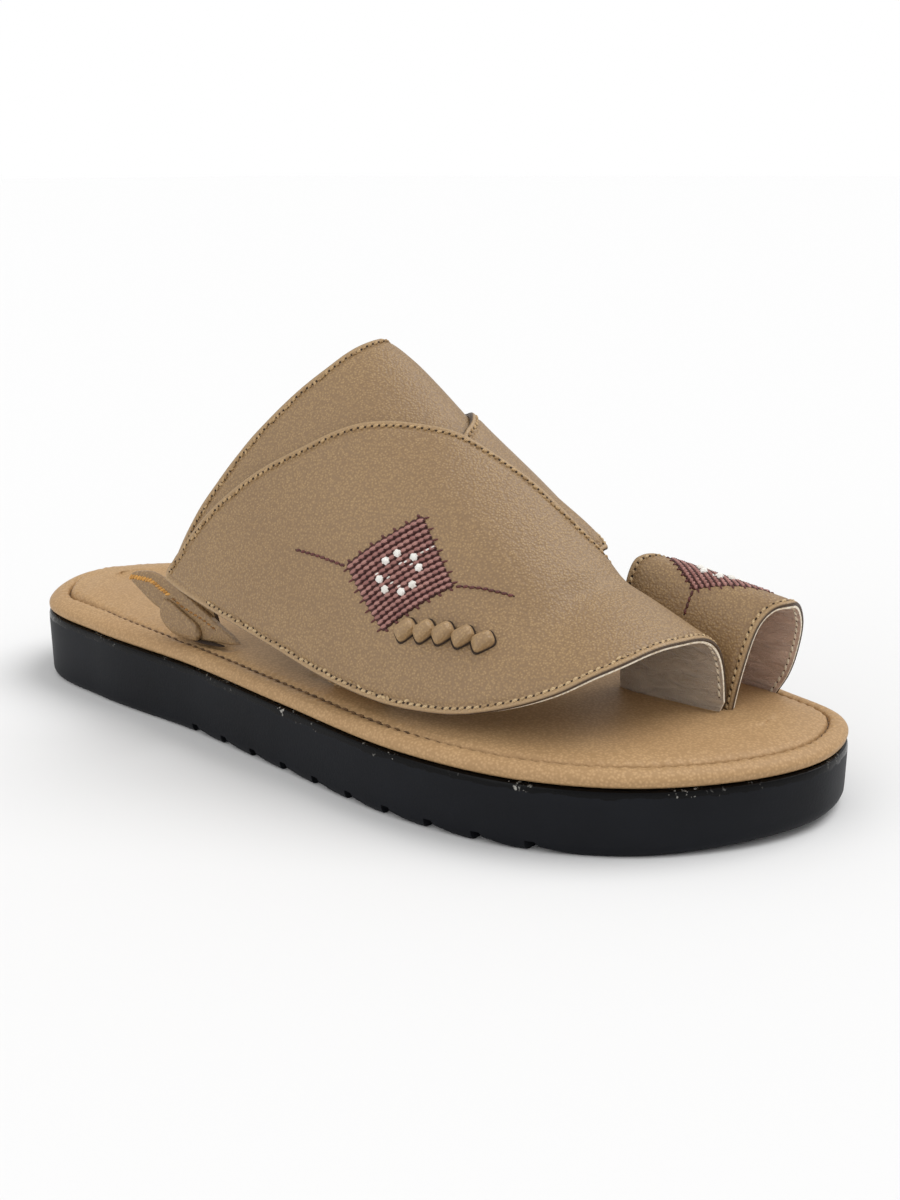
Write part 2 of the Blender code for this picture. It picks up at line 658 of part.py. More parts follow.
def build_knots(parts, helpers):
    """Woven lace on the outer flap: a strip with a diamond knot at each crossing."""
    xs = np.linspace(KNOT_FIRST_X, KNOT_LAST_X, KNOT_COUNT)
    turns = np.linspace(KNOT_FIRST_TURN, KNOT_LAST_TURN, KNOT_COUNT)
    frames = [flap_frame(x, turn) for x, turn in zip(xs, turns)]
    across = [Vector((0, side * LACE_WIDTH / 2, LACE_LIFT)) for side in (-1, 0, 1)]
    edges = [[here + turned.to_3x3() @ spot for spot in across] for turned, here in frames]
    lace = applied(sheet("woven_knots", edges, LACE_THICKNESS, OUT, "tan_leather", parts))
    for i, (turned, here) in enumerate(frames):
        bm = knot_pad()
        bmesh.ops.transform(bm, matrix=Matrix.Translation(here) @ turned, verts=bm.verts)
        join(lace, place(f"knot_{i + 1}", bm, "tan_leather", helpers, as_helper=True), chained=True)
    return lace


def cut(obj, cutter):
    """Takes the cutter's shape out of the object."""
    step = obj.modifiers.new(cutter.name, "BOOLEAN")
    step.operation = "DIFFERENCE"
    step.object = cutter


def join(obj, other, chained=False):
    """Joins the other shape to the object, chained where several shapes overlap one after another."""
    step = obj.modifiers.new(other.name, "BOOLEAN")
    step.operation = "UNION"
    step.object = other
    step.use_self = chained


def slot_cutter(strap, cutters):
    """A strap grown by the slot's clearance all round."""
    grown = bpy.data.objects.new(strap.name + "_slot", strap.data.copy())
    cutters.objects.link(grown)
    grown.hide_render = True
    grown.display_type = "WIRE"
    swell = grown.modifiers.new("clearance", "DISPLACE")
    swell.strength = SLOT_CLEARANCE * MM
    swell.mid_level = 0.0
    return applied(grown)


def main():
    """Builds the sandal."""
    clear_scene()
    parts = collection("arabic_sandal")
    helpers = collection("cutters", hidden=True)
    build_outsole(parts, helpers)
    insole = build_insole(parts)
    upper = build_band(parts)
    outer_flap = build_outer_flap(helpers)
    inner_flap = build_inner_flap(helpers)
    toe_loop = build_toe_loop(parts)
    ear = build_ear(parts, helpers)
    for strap in (upper, outer_flap, toe_loop, ear):
        cut(insole, slot_cutter(strap, helpers))
    join(upper, inner_flap)
    join(upper, outer_flap)
    build_knots(parts, helpers)


main()
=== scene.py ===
"""Looks of an Arabic sandal for the right foot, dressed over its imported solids.

Sizes are millimetres in the part's own frame: +X to the toe, -Y to the outer side of the foot, +Z up.
"""

from __future__ import annotations

import logging
import math
from dataclasses import dataclass
from enum import Enum, IntEnum
from typing import Callable, Iterable, Sequence

import bpy
import numpy as np
from mathutils import Matrix, Vector
from mathutils.kdtree import KDTree

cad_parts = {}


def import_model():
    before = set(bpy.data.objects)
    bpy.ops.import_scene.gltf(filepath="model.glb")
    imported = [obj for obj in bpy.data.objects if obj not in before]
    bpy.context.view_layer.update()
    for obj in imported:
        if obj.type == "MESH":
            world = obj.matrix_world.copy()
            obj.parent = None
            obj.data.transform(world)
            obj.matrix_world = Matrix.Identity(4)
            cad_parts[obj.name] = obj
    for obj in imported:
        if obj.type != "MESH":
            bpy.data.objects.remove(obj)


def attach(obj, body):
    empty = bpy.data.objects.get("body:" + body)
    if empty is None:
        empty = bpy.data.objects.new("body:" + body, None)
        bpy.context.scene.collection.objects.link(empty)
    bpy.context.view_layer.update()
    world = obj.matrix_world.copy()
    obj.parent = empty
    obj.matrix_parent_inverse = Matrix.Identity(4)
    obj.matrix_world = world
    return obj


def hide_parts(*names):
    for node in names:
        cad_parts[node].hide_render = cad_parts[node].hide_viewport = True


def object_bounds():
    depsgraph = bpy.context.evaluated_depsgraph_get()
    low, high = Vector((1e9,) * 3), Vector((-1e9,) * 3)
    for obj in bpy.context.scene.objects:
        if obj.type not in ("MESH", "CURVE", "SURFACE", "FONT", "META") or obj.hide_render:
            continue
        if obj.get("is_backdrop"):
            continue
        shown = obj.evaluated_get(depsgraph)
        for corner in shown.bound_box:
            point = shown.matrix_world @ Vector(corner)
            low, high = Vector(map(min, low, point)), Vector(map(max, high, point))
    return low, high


MM = 0.001
BODY = "root"
LOG = logging.getLogger("sandal")
Array = np.ndarray
Piece = bpy.types.Object
Pair = tuple[float, float]
Triple = tuple[float, float, float]
MERGE_WITHIN = 0.01 * MM
# Leather that carries no edge wear is taken to lie this far from an edge.
FAR_FROM_EDGE = 20.0
# Seams run this far inside a strap's edge, on its leather and on its lining.
SEAM_INSET = 2.1
LINING_SEAM_INSET = 1.3


# Finishes


def colour(code: str) -> tuple[float, float, float, float]:
    """Turns an sRGB hex value into a linear colour.

    Args:
        code: Colour such as "#9a7d5c".

    Returns:
        Linear red, green, blue and a full alpha.
    """
    channels = [int(code[i : i + 2], 16) / 255 for i in (1, 3, 5)]
    linear = [c / 12.92 if c <= 0.04045 else ((c + 0.055) / 1.055) ** 2.4 for c in channels]
    return (linear[0], linear[1], linear[2], 1.0)


def add_node(
    tree: bpy.types.NodeTree,
    kind: str,
    inputs: dict[str | int, object] | None = None,
    **settings: object,
) -> bpy.types.Node:
    """Adds a node with its settings and links.

    Args:
        tree: Node tree that takes the node.
        kind: Blender's name of the node type.
        inputs: Input socket name or number to a value, or to the socket that feeds it.
        settings: The node's own properties.

    Returns:
        The new node.
    """
    made = tree.nodes.new(kind)
    for name, value in settings.items():
        setattr(made, name, value)
    for key, value in (inputs or {}).items():
        if isinstance(value, bpy.types.NodeSocket):
            tree.links.new(value, made.inputs[key])
        else:
            made.inputs[key].default_value = value
    return made


class Mixed(IntEnum):
    """Socket numbers of a Mix node, whose sockets share their names: five inputs, then two results."""

    SHARE = 0
    FIRST_VECTOR = 4
    SECOND_VECTOR = 5
    FIRST = 6
    SECOND = 7
    VECTOR = 1
    COLOUR = 2


class Slot(Enum):
    """Material slots of the record."""

    RUBBER = "black_rubber"
    INSOLE = "tan_insole"
    LEATHER = "tan_leather"


def per_mm(size: float) -> float:
    """Texture scale that gives a pattern of this size in millimetres on Object coordinates."""
    return 1.0 / (size * MM)


@dataclass(frozen=True)
class Finish:
    """A surface finish: its name and the record's slot that it belongs to, none for the studio's own."""

    name: str
    slot: Slot | None = None

    def material(self) -> bpy.types.Material:
        """Finds the finish's material, or makes it on first use.

        Returns:
            The material.
        """
        made = bpy.data.materials.get(self.name)
        if made is None:
            made = bpy.data.materials.new(self.name)
            made.use_nodes = True
            self.lay(made.node_tree, made.node_tree.nodes["Principled BSDF"])
        return made

    def lay(self, tree: bpy.types.NodeTree, shader: bpy.types.Node) -> None:
        """Lays the nodes that feed the shader.

        Args:
            tree: The material's nodes.
            shader: Its Principled shader.
        """
        raise NotImplementedError


@dataclass(frozen=True)
class GrainedLeather(Finish):
    """Drum-dyed leather with an embossed pebble grain and soft broad gloss, with a painted highlight on the
    pebble tops and painted shade in the creases.
    """

    base: str = "#967954"
    light: str = "#a3855c"
    # Painted highlight on the pebble tops and along the edges.
    painted_highlight: str = "#c4a57b"
    # Painted shade in the pebble valleys.
    dark: str = "#7c6247"
    # Burnished cut edge, and painted shade at the foot of a knot.
    burnish_and_shade: str = "#4d3a2a"
    pebble: float = 0.68
    wander: float = 1.8
    pore: float = 0.4
    mottle: float = 24.0
    depth: float = 0.2
    roughness: float = 0.46
    uneven_gloss: float = 0.07
    shine: float = 0.5
    ior: float = 1.47

    def lay(self, tree: bpy.types.NodeTree, shader: bpy.types.Node) -> None:
        """Lays pebble grain, slow mottling, painted highlights on the pebble tops and along the edges,
        painted shade in the pebble valleys, and a burnished cut edge that is also painted shade at a knot's
        foot.

        Args:
            tree: The material's nodes.
            shader: Its Principled shader.
        """
        place = add_node(tree, "ShaderNodeTexCoord").outputs["Object"]
        edge = add_node(tree, "ShaderNodeAttribute", attribute_name="edge").outputs["Fac"]
        warp, fine, slow = (
            add_node(tree, "ShaderNodeTexNoise", {"Vector": place, "Scale": per_mm(size), "Detail": detail})
            for size, detail in ((self.wander, 1.0), (self.pore, 2.0), (self.mottle, 2.0))
        )
        # Places are pushed about by up to half a millimetre, so that no two pebbles are alike.
        bent = add_node(
            tree,
            "ShaderNodeMix",
            {Mixed.SHARE: 0.0005, Mixed.FIRST_VECTOR: place, Mixed.SECOND_VECTOR: warp.outputs["Color"]},
            data_type="VECTOR",
        )
        cells = add_node(
            tree,
            "ShaderNodeTexVoronoi",
            {"Vector": bent.outputs[Mixed.VECTOR], "Scale": per_mm(self.pebble), "Smoothness": 0.35},
            feature="SMOOTH_F1",
        ).outputs["Distance"]
        # Mottling, painted shade in the pebble valleys, a painted highlight on the pebble tops and along the
        # edges, and the burnished cut edge, also painted shade at a knot's foot:
        # what each coat follows, from where to where, how strong it is at both, and its colour.
        coats = (
            (slow.outputs["Fac"], 0.3, 0.7, 0.0, 0.45, "SMOOTHSTEP", self.light),
            (cells, 0.3, 0.62, 0.0, 0.6, "LINEAR", self.dark),
            (cells, 0.0, 0.26, 0.65, 0.0, "LINEAR", self.painted_highlight),
            (edge, 0.5, 1.9, 0.4, 0.0, "LINEAR", self.painted_highlight),
            (edge, 0.0, 0.4, 0.75, 0.0, "LINEAR", self.burnish_and_shade),
        )
        tone = colour(self.base)
        for value, low, high, start, end, ease, coat in coats:
            share = add_node(
                tree,
                "ShaderNodeMapRange",
                {"Value": value, "From Min": low, "From Max": high, "To Min": start, "To Max": end},
                interpolation_type=ease,
            )
            tone = add_node(
                tree,
                "ShaderNodeMix",
                {Mixed.SHARE: share.outputs["Result"], Mixed.FIRST: tone, Mixed.SECOND: colour(coat)},
                data_type="RGBA",
            ).outputs[Mixed.COLOUR]
        tree.links.new(tone, shader.inputs["Base Color"])
        gloss = add_node(
            tree,
            "ShaderNodeMapRange",
            {
                "Value": fine.outputs["Fac"],
                "From Min": 0.3,
                "From Max": 0.7,
                "To Min": self.roughness - self.uneven_gloss,
                "To Max": self.roughness + self.uneven_gloss,
            },
        )
        tree.links.new(gloss.outputs["Result"], shader.inputs["Roughness"])
        ridge = add_node(
            tree,
            "ShaderNodeMath",
            {0: fine.outputs["Fac"], 1: 0.3, 2: cells},
            operation="MULTIPLY_ADD",
        )
        bump = add_node(
            tree,
            "ShaderNodeBump",
            {"Height": ridge.outputs[0], "Distance": self.depth * MM, "Strength": 0.9},
            invert=True,
        )
        tree.links.new(bump.outputs["Normal"], shader.inputs["Normal"])
        shader.inputs["IOR"].default_value = self.ior
        shader.inputs["Specular IOR Level"].default_value = self.shine


@dataclass(frozen=True)
class SuedeLining(Finish):
    """Brushed split-leather lining: no gloss, a short nap and soft wrinkles that run aslant, painted lighter
    on their rises and darker in their troughs as painted light and shade.
    """

    base: str = "#b8a48d"
    # Painted light on the rises of the wrinkles.
    light: str = "#d2c0ab"
    # Painted shade in the troughs of the wrinkles.
    dark: str = "#8d7a66"
    wrinkle: float = 4.0
    wrinkle_turn: Triple = (0.0, 0.6, 0.5)
    wrinkle_stretch: Triple = (0.4, 1.0, 1.5)
    nap: float = 0.5
    depth: float = 0.8
    roughness: float = 0.95
    sheen: float = 0.35

    def lay(self, tree: bpy.types.NodeTree, shader: bpy.types.Node) -> None:
        """Lays wrinkles with painted light on their rises and painted shade in their troughs, and fine fibre.
        A real nap is finer, and is drawn as coarse as it needs to show.

        Args:
            tree: The material's nodes.
            shader: Its Principled shader.
        """
        place = add_node(tree, "ShaderNodeTexCoord").outputs["Object"]
        aslant = add_node(
            tree,
            "ShaderNodeMapping",
            {"Vector": place, "Rotation": self.wrinkle_turn, "Scale": self.wrinkle_stretch},
        )
        wrinkle = add_node(
            tree,
            "ShaderNodeTexNoise",
            {
                "Vector": aslant.outputs[0],
                "Scale": per_mm(self.wrinkle),
                "Detail": 5.0,
                "Roughness": 0.6,
                "Distortion": 1.2,
            },
        )
        # How far the wrinkles rise: it raises the bump and paints the rises lighter and the troughs darker,
        # as painted light and shade.
        wrinkle_rise = add_node(
            tree,
            "ShaderNodeMapRange",
            {"Value": wrinkle.outputs["Fac"], "From Min": 0.32, "From Max": 0.68},
        ).outputs["Result"]
        fibre = add_node(
            tree, "ShaderNodeTexNoise", {"Vector": place, "Scale": per_mm(self.nap), "Detail": 3.0}
        ).outputs["Fac"]
        tone = colour(self.dark)
        for share, coat in ((wrinkle_rise, self.light), (fibre, self.base)):
            tone = add_node(
                tree,
                "ShaderNodeMix",
                {Mixed.SHARE: share, Mixed.FIRST: tone, Mixed.SECOND: colour(coat)},
                data_type="RGBA",
            ).outputs[Mixed.COLOUR]
        tree.links.new(tone, shader.inputs["Base Color"])
        ridge = add_node(tree, "ShaderNodeMath", {0: wrinkle_rise, 1: 1.2, 2: fibre}, operation="MULTIPLY_ADD")
        bump = add_node(
            tree,
            "ShaderNodeBump",
            {"Height": ridge.outputs[0], "Distance": self.depth * MM, "Strength": 0.9},
        )
        tree.links.new(bump.outputs["Normal"], shader.inputs["Normal"])
        shader.inputs["Roughness"].default_value = self.roughness
        shader.inputs["Sheen Weight"].default_value = self.sheen


@dataclass(frozen=True)
class RawEdge(Finish):
    """Cut edge of undyed backing: pale loose fibres that take no gloss."""

    base: str = "#d9ccb6"
    dark: str = "#a08a6d"
    fleck: float = 0.7
    depth: float = 0.2
    roughness: float = 0.9

    def lay(self, tree: bpy.types.NodeTree, shader: bpy.types.Node) -> None:
        """Lays fibre flecks.

        Args:
            tree: The material's nodes.
            shader: Its Principled shader.
        """
        place = add_node(tree, "ShaderNodeTexCoord").outputs["Object"]
        fibre = add_node(
            tree, "ShaderNodeTexNoise", {"Vector": place, "Scale": per_mm(self.fleck), "Detail": 4.0}
        ).outputs["Fac"]
        fleck = add_node(
            tree, "ShaderNodeMapRange", {"Value": fibre, "From Min": 0.45, "From Max": 0.7}
        )
        tone = add_node(
            tree,
            "ShaderNodeMix",
            {
                Mixed.SHARE: fleck.outputs["Result"],
                Mixed.FIRST: colour(self.base),
                Mixed.SECOND: colour(self.dark),
            },
            data_type="RGBA",
        )
        tree.links.new(tone.outputs[Mixed.COLOUR], shader.inputs["Base Color"])
        bump = add_node(
            tree, "ShaderNodeBump", {"Height": fibre, "Distance": self.depth * MM, "Strength": 0.8}
        )
        tree.links.new(bump.outputs["Normal"], shader.inputs["Normal"])
        shader.inputs["Roughness"].default_value = self.roughness


@dataclass(frozen=True)
class MouldedRubber(Finish):
    """Moulded black rubber: satin skin, glue smeared along the top edge, chalk specks and scuffs."""

    base: str = "#0d0e11"
    worn: str = "#1a1c21"
    glue: str = "#060607"
    speck: str = "#c9c6be"
    roughness: float = 0.5
    glue_roughness: float = 0.2
    depth: float = 0.08
    shine: float = 0.12
    ior: float = 1.52

    def lay(self, tree: bpy.types.NodeTree, shader: bpy.types.Node) -> None:
        """Lays worn patches, specks and the glue line.

        Args:
            tree: The material's nodes.
            shader: Its Principled shader.
        """
        place = add_node(tree, "ShaderNodeTexCoord").outputs["Object"]
        drop = add_node(tree, "ShaderNodeAttribute", attribute_name="drop").outputs["Fac"]
        # Sizes in millimetres of worn clouds, mould grit, glue crumbs, patches of crumbs and smears.
        cloud, grit, crumb, patch, smear = (
            add_node(tree, "ShaderNodeTexNoise", {"Vector": place, "Scale": per_mm(size), "Detail": detail})
            for size, detail in ((22.0, 4.0), (0.7, 2.0), (1.3, 3.0), (19.0, 1.0), (5.0, 4.0))
        )
        chalk = add_node(tree, "ShaderNodeTexVoronoi", {"Vector": place, "Scale": per_mm(24.0)})
        # The glue band is two to three millimetres wide, with a lower edge that wanders.
        depth = add_node(
            tree,
            "ShaderNodeMath",
            {0: smear.outputs["Fac"], 1: -3.2, 2: drop},
            operation="MULTIPLY_ADD",
        )
        near, crumbs, shed, spot = (
            add_node(
                tree,
                "ShaderNodeMapRange",
                {"Value": value, "From Min": low, "From Max": high, "To Min": start, "To Max": end},
                interpolation_type=ease,
            ).outputs["Result"]
            for value, low, high, start, end, ease in (
                (depth.outputs[0], 0.2, 0.7, 1.0, 0.0, "SMOOTHSTEP"),
                (crumb.outputs["Fac"], 0.62, 0.70, 0.0, 1.0, "LINEAR"),
                (patch.outputs["Fac"], 0.5, 0.62, 0.0, 1.0, "LINEAR"),
                (chalk.outputs["Distance"], 0.012, 0.026, 0.8, 0.0, "LINEAR"),
            )
        )
        dusty = add_node(tree, "ShaderNodeMath", {0: crumbs, 1: near}, operation="MULTIPLY").outputs[0]
        dusty = add_node(tree, "ShaderNodeMath", {0: dusty, 1: shed}, operation="MULTIPLY").outputs[0]
        marks = add_node(
            tree,
            "ShaderNodeMath",
            {0: dusty, 1: 0.6, 2: spot},
            operation="MULTIPLY_ADD",
            use_clamp=True,
        ).outputs[0]
        tone = colour(self.base)
        for share, coat in ((cloud.outputs["Fac"], self.worn), (near, self.glue), (marks, self.speck)):
            tone = add_node(
                tree,
                "ShaderNodeMix",
                {Mixed.SHARE: share, Mixed.FIRST: tone, Mixed.SECOND: colour(coat)},
                data_type="RGBA",
            ).outputs[Mixed.COLOUR]
        tree.links.new(tone, shader.inputs["Base Color"])
        gloss = add_node(
            tree,
            "ShaderNodeMapRange",
            {"Value": near, "To Min": self.roughness, "To Max": self.glue_roughness},
        )
        tree.links.new(gloss.outputs["Result"], shader.inputs["Roughness"])
        lumps = add_node(
            tree,
            "ShaderNodeMath",
            {0: dusty, 1: 3.0, 2: grit.outputs["Fac"]},
            operation="MULTIPLY_ADD",
        )
        bump = add_node(
            tree,
            "ShaderNodeBump",
            {"Height": lumps.outputs[0], "Distance": self.depth * MM, "Strength": 0.6},
        )
        tree.links.new(bump.outputs["Normal"], shader.inputs["Normal"])
        shader.inputs["IOR"].default_value = self.ior
        shader.inputs["Specular IOR Level"].default_value = self.shine


@dataclass(frozen=True)
class Thread(Finish):
    """Twisted sewing thread: a slight gloss on each ply, painted shade in the grooves between plies, and some
    stitches darker than others.
    """

    base: str = "#b08f62"
    # Colour of the darker stitches, and painted shade in the grooves of the twist.
    dark: str = "#6d5133"
    ply: float = 0.55
    depth: float = 0.06
    roughness: float = 0.55

    def lay(self, tree: bpy.types.NodeTree, shader: bpy.types.Node) -> None:
        """Lays the twist along each stitch, with painted shade in the grooves of the twist.

        Args:
            tree: The material's nodes.
            shader: Its Principled shader.
        """
        tone, twist = (
            add_node(tree, "ShaderNodeAttribute", attribute_name=name).outputs["Fac"]
            for name in ("tone", "twist")
        )
        turns = add_node(
            tree, "ShaderNodeMath", {0: twist, 1: 2 * math.pi / self.ply}, operation="MULTIPLY"
        )
        wave = add_node(tree, "ShaderNodeMath", {0: turns.outputs[0]}, operation="SINE").outputs[0]
        # Painted shade in the grooves between the plies of the twist.
        groove = add_node(
            tree,
            "ShaderNodeMapRange",
            {"Value": wave, "From Min": -1.0, "From Max": -0.2, "To Min": 0.7, "To Max": 0.0},
        )
        shade = colour(self.base)
        for share in (tone, groove.outputs["Result"]):
            shade = add_node(
                tree,
                "ShaderNodeMix",
                {Mixed.SHARE: share, Mixed.FIRST: shade, Mixed.SECOND: colour(self.dark)},
                data_type="RGBA",
            ).outputs[Mixed.COLOUR]
        tree.links.new(shade, shader.inputs["Base Color"])
        bump = add_node(
            tree, "ShaderNodeBump", {"Height": wave, "Distance": self.depth * MM, "Strength": 0.7}
        )
        tree.links.new(bump.outputs["Normal"], shader.inputs["Normal"])
        shader.inputs["Roughness"].default_value = self.roughness


@dataclass(frozen=True)
class StudioFloor(Finish):
    """Matt white paper sweep with a faint tooth."""

    base: str = "#e5e5e5"
    tooth: float = 1.5
    depth: float = 0.02
    roughness: float = 0.9

    def lay(self, tree: bpy.types.NodeTree, shader: bpy.types.Node) -> None:
        """Lays the paper's tooth. A real one is finer, and is drawn as coarse as it needs to show.

        Args:
            tree: The material's nodes.
            shader: Its Principled shader.
        """
        place = add_node(tree, "ShaderNodeTexCoord").outputs["Object"]
        tooth = add_node(tree, "ShaderNodeTexNoise", {"Vector": place, "Scale": per_mm(self.tooth)})
        bump = add_node(
            tree,
            "ShaderNodeBump",
            {"Height": tooth.outputs["Fac"], "Distance": self.depth * MM, "Strength": 0.2},
        )
        tree.links.new(bump.outputs["Normal"], shader.inputs["Normal"])
        shader.inputs["Base Color"].default_value = colour(self.base)
        shader.inputs["Roughness"].default_value = self.roughness
        shader.inputs["Specular IOR Level"].default_value = 0.0


UPPER_LEATHER = GrainedLeather("grained_upper_leather", Slot.LEATHER)
# Cut edges in burnished dark dye, made darker still as painted shade along the rims.
CUT_EDGE_AND_SHADE = GrainedLeather(
    "burnished_edge_and_painted_shade",
    Slot.LEATHER,
    base="#4f3c2a",
    light="#5a4632",
    painted_highlight="#664f38",
    dark="#3a2b1d",
    burnish_and_shade="#3e2e20",
)
INSOLE_LEATHER = GrainedLeather(
    "smooth_insole_leatherette",
    Slot.INSOLE,
    base="#b39067",
    light="#bf9d72",
    painted_highlight="#cba97e",
    dark="#9b7b54",
    pebble=0.8,
    depth=0.06,
    roughness=0.55,
    shine=0.3,
)
GREY_LINING = SuedeLining("grey_suede_lining", Slot.LEATHER)
# The band's and inner flap's linings, whose own colour is unseen, are given a dark brown that stands in for
# the shade inside the band.
DARK_LINING_FOR_SHADE = SuedeLining(
    "brown_suede_lining", Slot.LEATHER, base="#745c43", light="#836a4e", dark="#574531"
)
ROSE_LINING = SuedeLining(
    "rose_suede_lining", Slot.LEATHER, base="#d3b29c", light="#e8cfbc", dark="#a98872"
)
PALE_EDGE = RawEdge("raw_backing_edge", Slot.LEATHER, base="#f6ecd9", dark="#cdba9b")
# Dark beads of painted shade in the slits round the knots and in the ear's slot.
SLIT_SHADOW = RawEdge("painted_slit_shadow", Slot.LEATHER, base="#35261a", dark="#241910")
# Dark beads of painted shade in the needle holes.
NEEDLE_HOLE_SHADOW = RawEdge("needle_hole_shadow", Slot.LEATHER, base="#3a2a1c", dark="#2a1d13")
SOLE_RUBBER = MouldedRubber("moulded_black_rubber", Slot.RUBBER)
CREAM_THREAD = Thread("cream_polyester_thread", Slot.LEATHER, base="#d3b88d", dark="#8a6a45")
TAN_THREAD = Thread("tan_polyester_thread", Slot.LEATHER, base="#c6a678", dark="#86663f")
PALE_THREAD = Thread("pale_lining_thread", Slot.LEATHER, base="#efe3cd", dark="#bba88a")
BROWN_THREAD = Thread("brown_polyester_thread", Slot.INSOLE, base="#7f5f3a", dark="#48331e")
MAROON_THREAD = Thread(
    "maroon_silk_thread", Slot.LEATHER, base="#b5857b", dark="#84504a", roughness=0.42
)
DARK_MAROON_THREAD = Thread("deep_maroon_silk_thread", Slot.LEATHER, base="#6e3b36", dark="#47201e")
SHADE_THREAD = Thread("shaded_maroon_thread", Slot.LEATHER, base="#4d241f", dark="#351512")
WHITE_THREAD = Thread("white_cotton_thread", Slot.LEATHER, base="#fbf9f4", dark="#d8d2c6")
AMBER_THREAD = Thread(
    "amber_nylon_thread", Slot.LEATHER, base="#e6a94f", dark="#9a6724", roughness=0.4
)
AMBER_BROWN_THREAD = Thread("worn_amber_thread", Slot.LEATHER, base="#b07a35", dark="#6a4519")


# Mesh helpers


def deselect_all() -> None:
    """Leaves nothing selected."""
    bpy.ops.object.select_all(action="DESELECT")


def pick_out(piece: Piece) -> None:
    """Leaves one piece selected and active for the next operator.

    Args:
        piece: Piece to pick out.
    """
    deselect_all()
    piece.select_set(True)
    bpy.context.view_layer.objects.active = piece


def spots_of(piece: Piece) -> Array:
    """Places of a piece's vertices.

    Args:
        piece: Piece to measure.

    Returns:
        One xyz a vertex, in Blender's metres.
    """
    spots = np.empty(len(piece.data.vertices) * 3, np.float32)
    piece.data.vertices.foreach_get("co", spots)
    return spots.reshape(-1, 3).astype(float)


def place_spots(piece: Piece, points: Array) -> None:
    """Moves the vertices of a piece.

    Args:
        piece: Piece to shape.
        points: One xyz a vertex in millimetres.
    """
    piece.data.vertices.foreach_set("co", (points * MM).astype(np.float32).ravel())
    piece.data.update()


def lay_grid(name: str, points: Array) -> Piece:
    """Adds a grid primitive and lays it through rows of points.

    Args:
        name: Name of the piece.
        points: Rows, columns and xyz in millimetres.

    Returns:
        The new piece.
    """
    rows, columns = points.shape[:2]
    deselect_all()
    bpy.ops.mesh.primitive_grid_add(x_subdivisions=columns - 1, y_subdivisions=rows - 1, size=1.0)
    piece = bpy.context.object
    piece.name = name
    piece.data.name = name
    place_spots(piece, points)
    return piece


def keep_value(piece: Piece, name: str, values: Array) -> None:
    """Stores one number a vertex for the materials.

    Args:
        piece: Piece that takes the numbers.
        name: Name of the attribute.
        values: One value a vertex.
    """
    layer = piece.data.attributes.new(name, "FLOAT", "POINT")
    layer.data.foreach_set("value", np.asarray(values, np.float32).ravel())


def modify(piece: Piece, kind: str, **settings: object) -> None:
    """Adds a modifier with its settings and applies it.

    Args:
        piece: Piece to change.
        kind: Blender's name of the modifier type.
        settings: The modifier's properties.
    """
    bpy.context.view_layer.objects.active = piece
    bpy.ops.object.modifier_add(type=kind)
    step = piece.modifiers[-1]
    for name, value in settings.items():
        setattr(step, name, value)
    bpy.ops.object.modifier_apply(modifier=step.name)


def close_mesh(piece: Piece) -> None:
    """Merges doubled points of a lofted mesh and turns its faces outwards.

    Args:
        piece: Piece to close.
    """
    pick_out(piece)
    bpy.ops.object.mode_set(mode="EDIT")
    bpy.ops.mesh.select_all(action="SELECT")
    bpy.ops.mesh.remove_doubles(threshold=MERGE_WITHIN)
    bpy.ops.mesh.normals_make_consistent(inside=False)
    bpy.ops.object.mode_set(mode="OBJECT")


def loft(name: str, rings: Sequence[Array]) -> Piece:
    """Lofts a closed piece through rings of points.

    Args:
        name: Name of the piece.
        rings: Rings with as many points each, from one end of the piece to the other.

    Returns:
        The new piece.
    """
    stack = np.array(rings)
    piece = lay_grid(name, np.concatenate([stack, stack[:, :1]], axis=1))
    close_mesh(piece)
    return piece


def dress(piece: Piece, *finishes: Finish, node: str = "", smooth: float = 40.0) -> Piece:
    """Gives a piece its finishes, sets it on the sandal and reports it.

    Args:
        piece: Finished mesh.
        finishes: One finish a material slot.
        node: CAD node that the piece stands for, if any.
        smooth: Edges sharper than this angle stay sharp.

    Returns:
        The piece.
    """
    pick_out(piece)
    bpy.ops.object.shade_smooth_by_angle(angle=math.radians(smooth))
    for finish in finishes:
        piece.data.materials.append(finish.material())
    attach(piece, BODY)
    if node:
        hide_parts(node)
    LOG.info("%s: %d faces", piece.name, len(piece.data.polygons))
    return piece


# Curves and forms


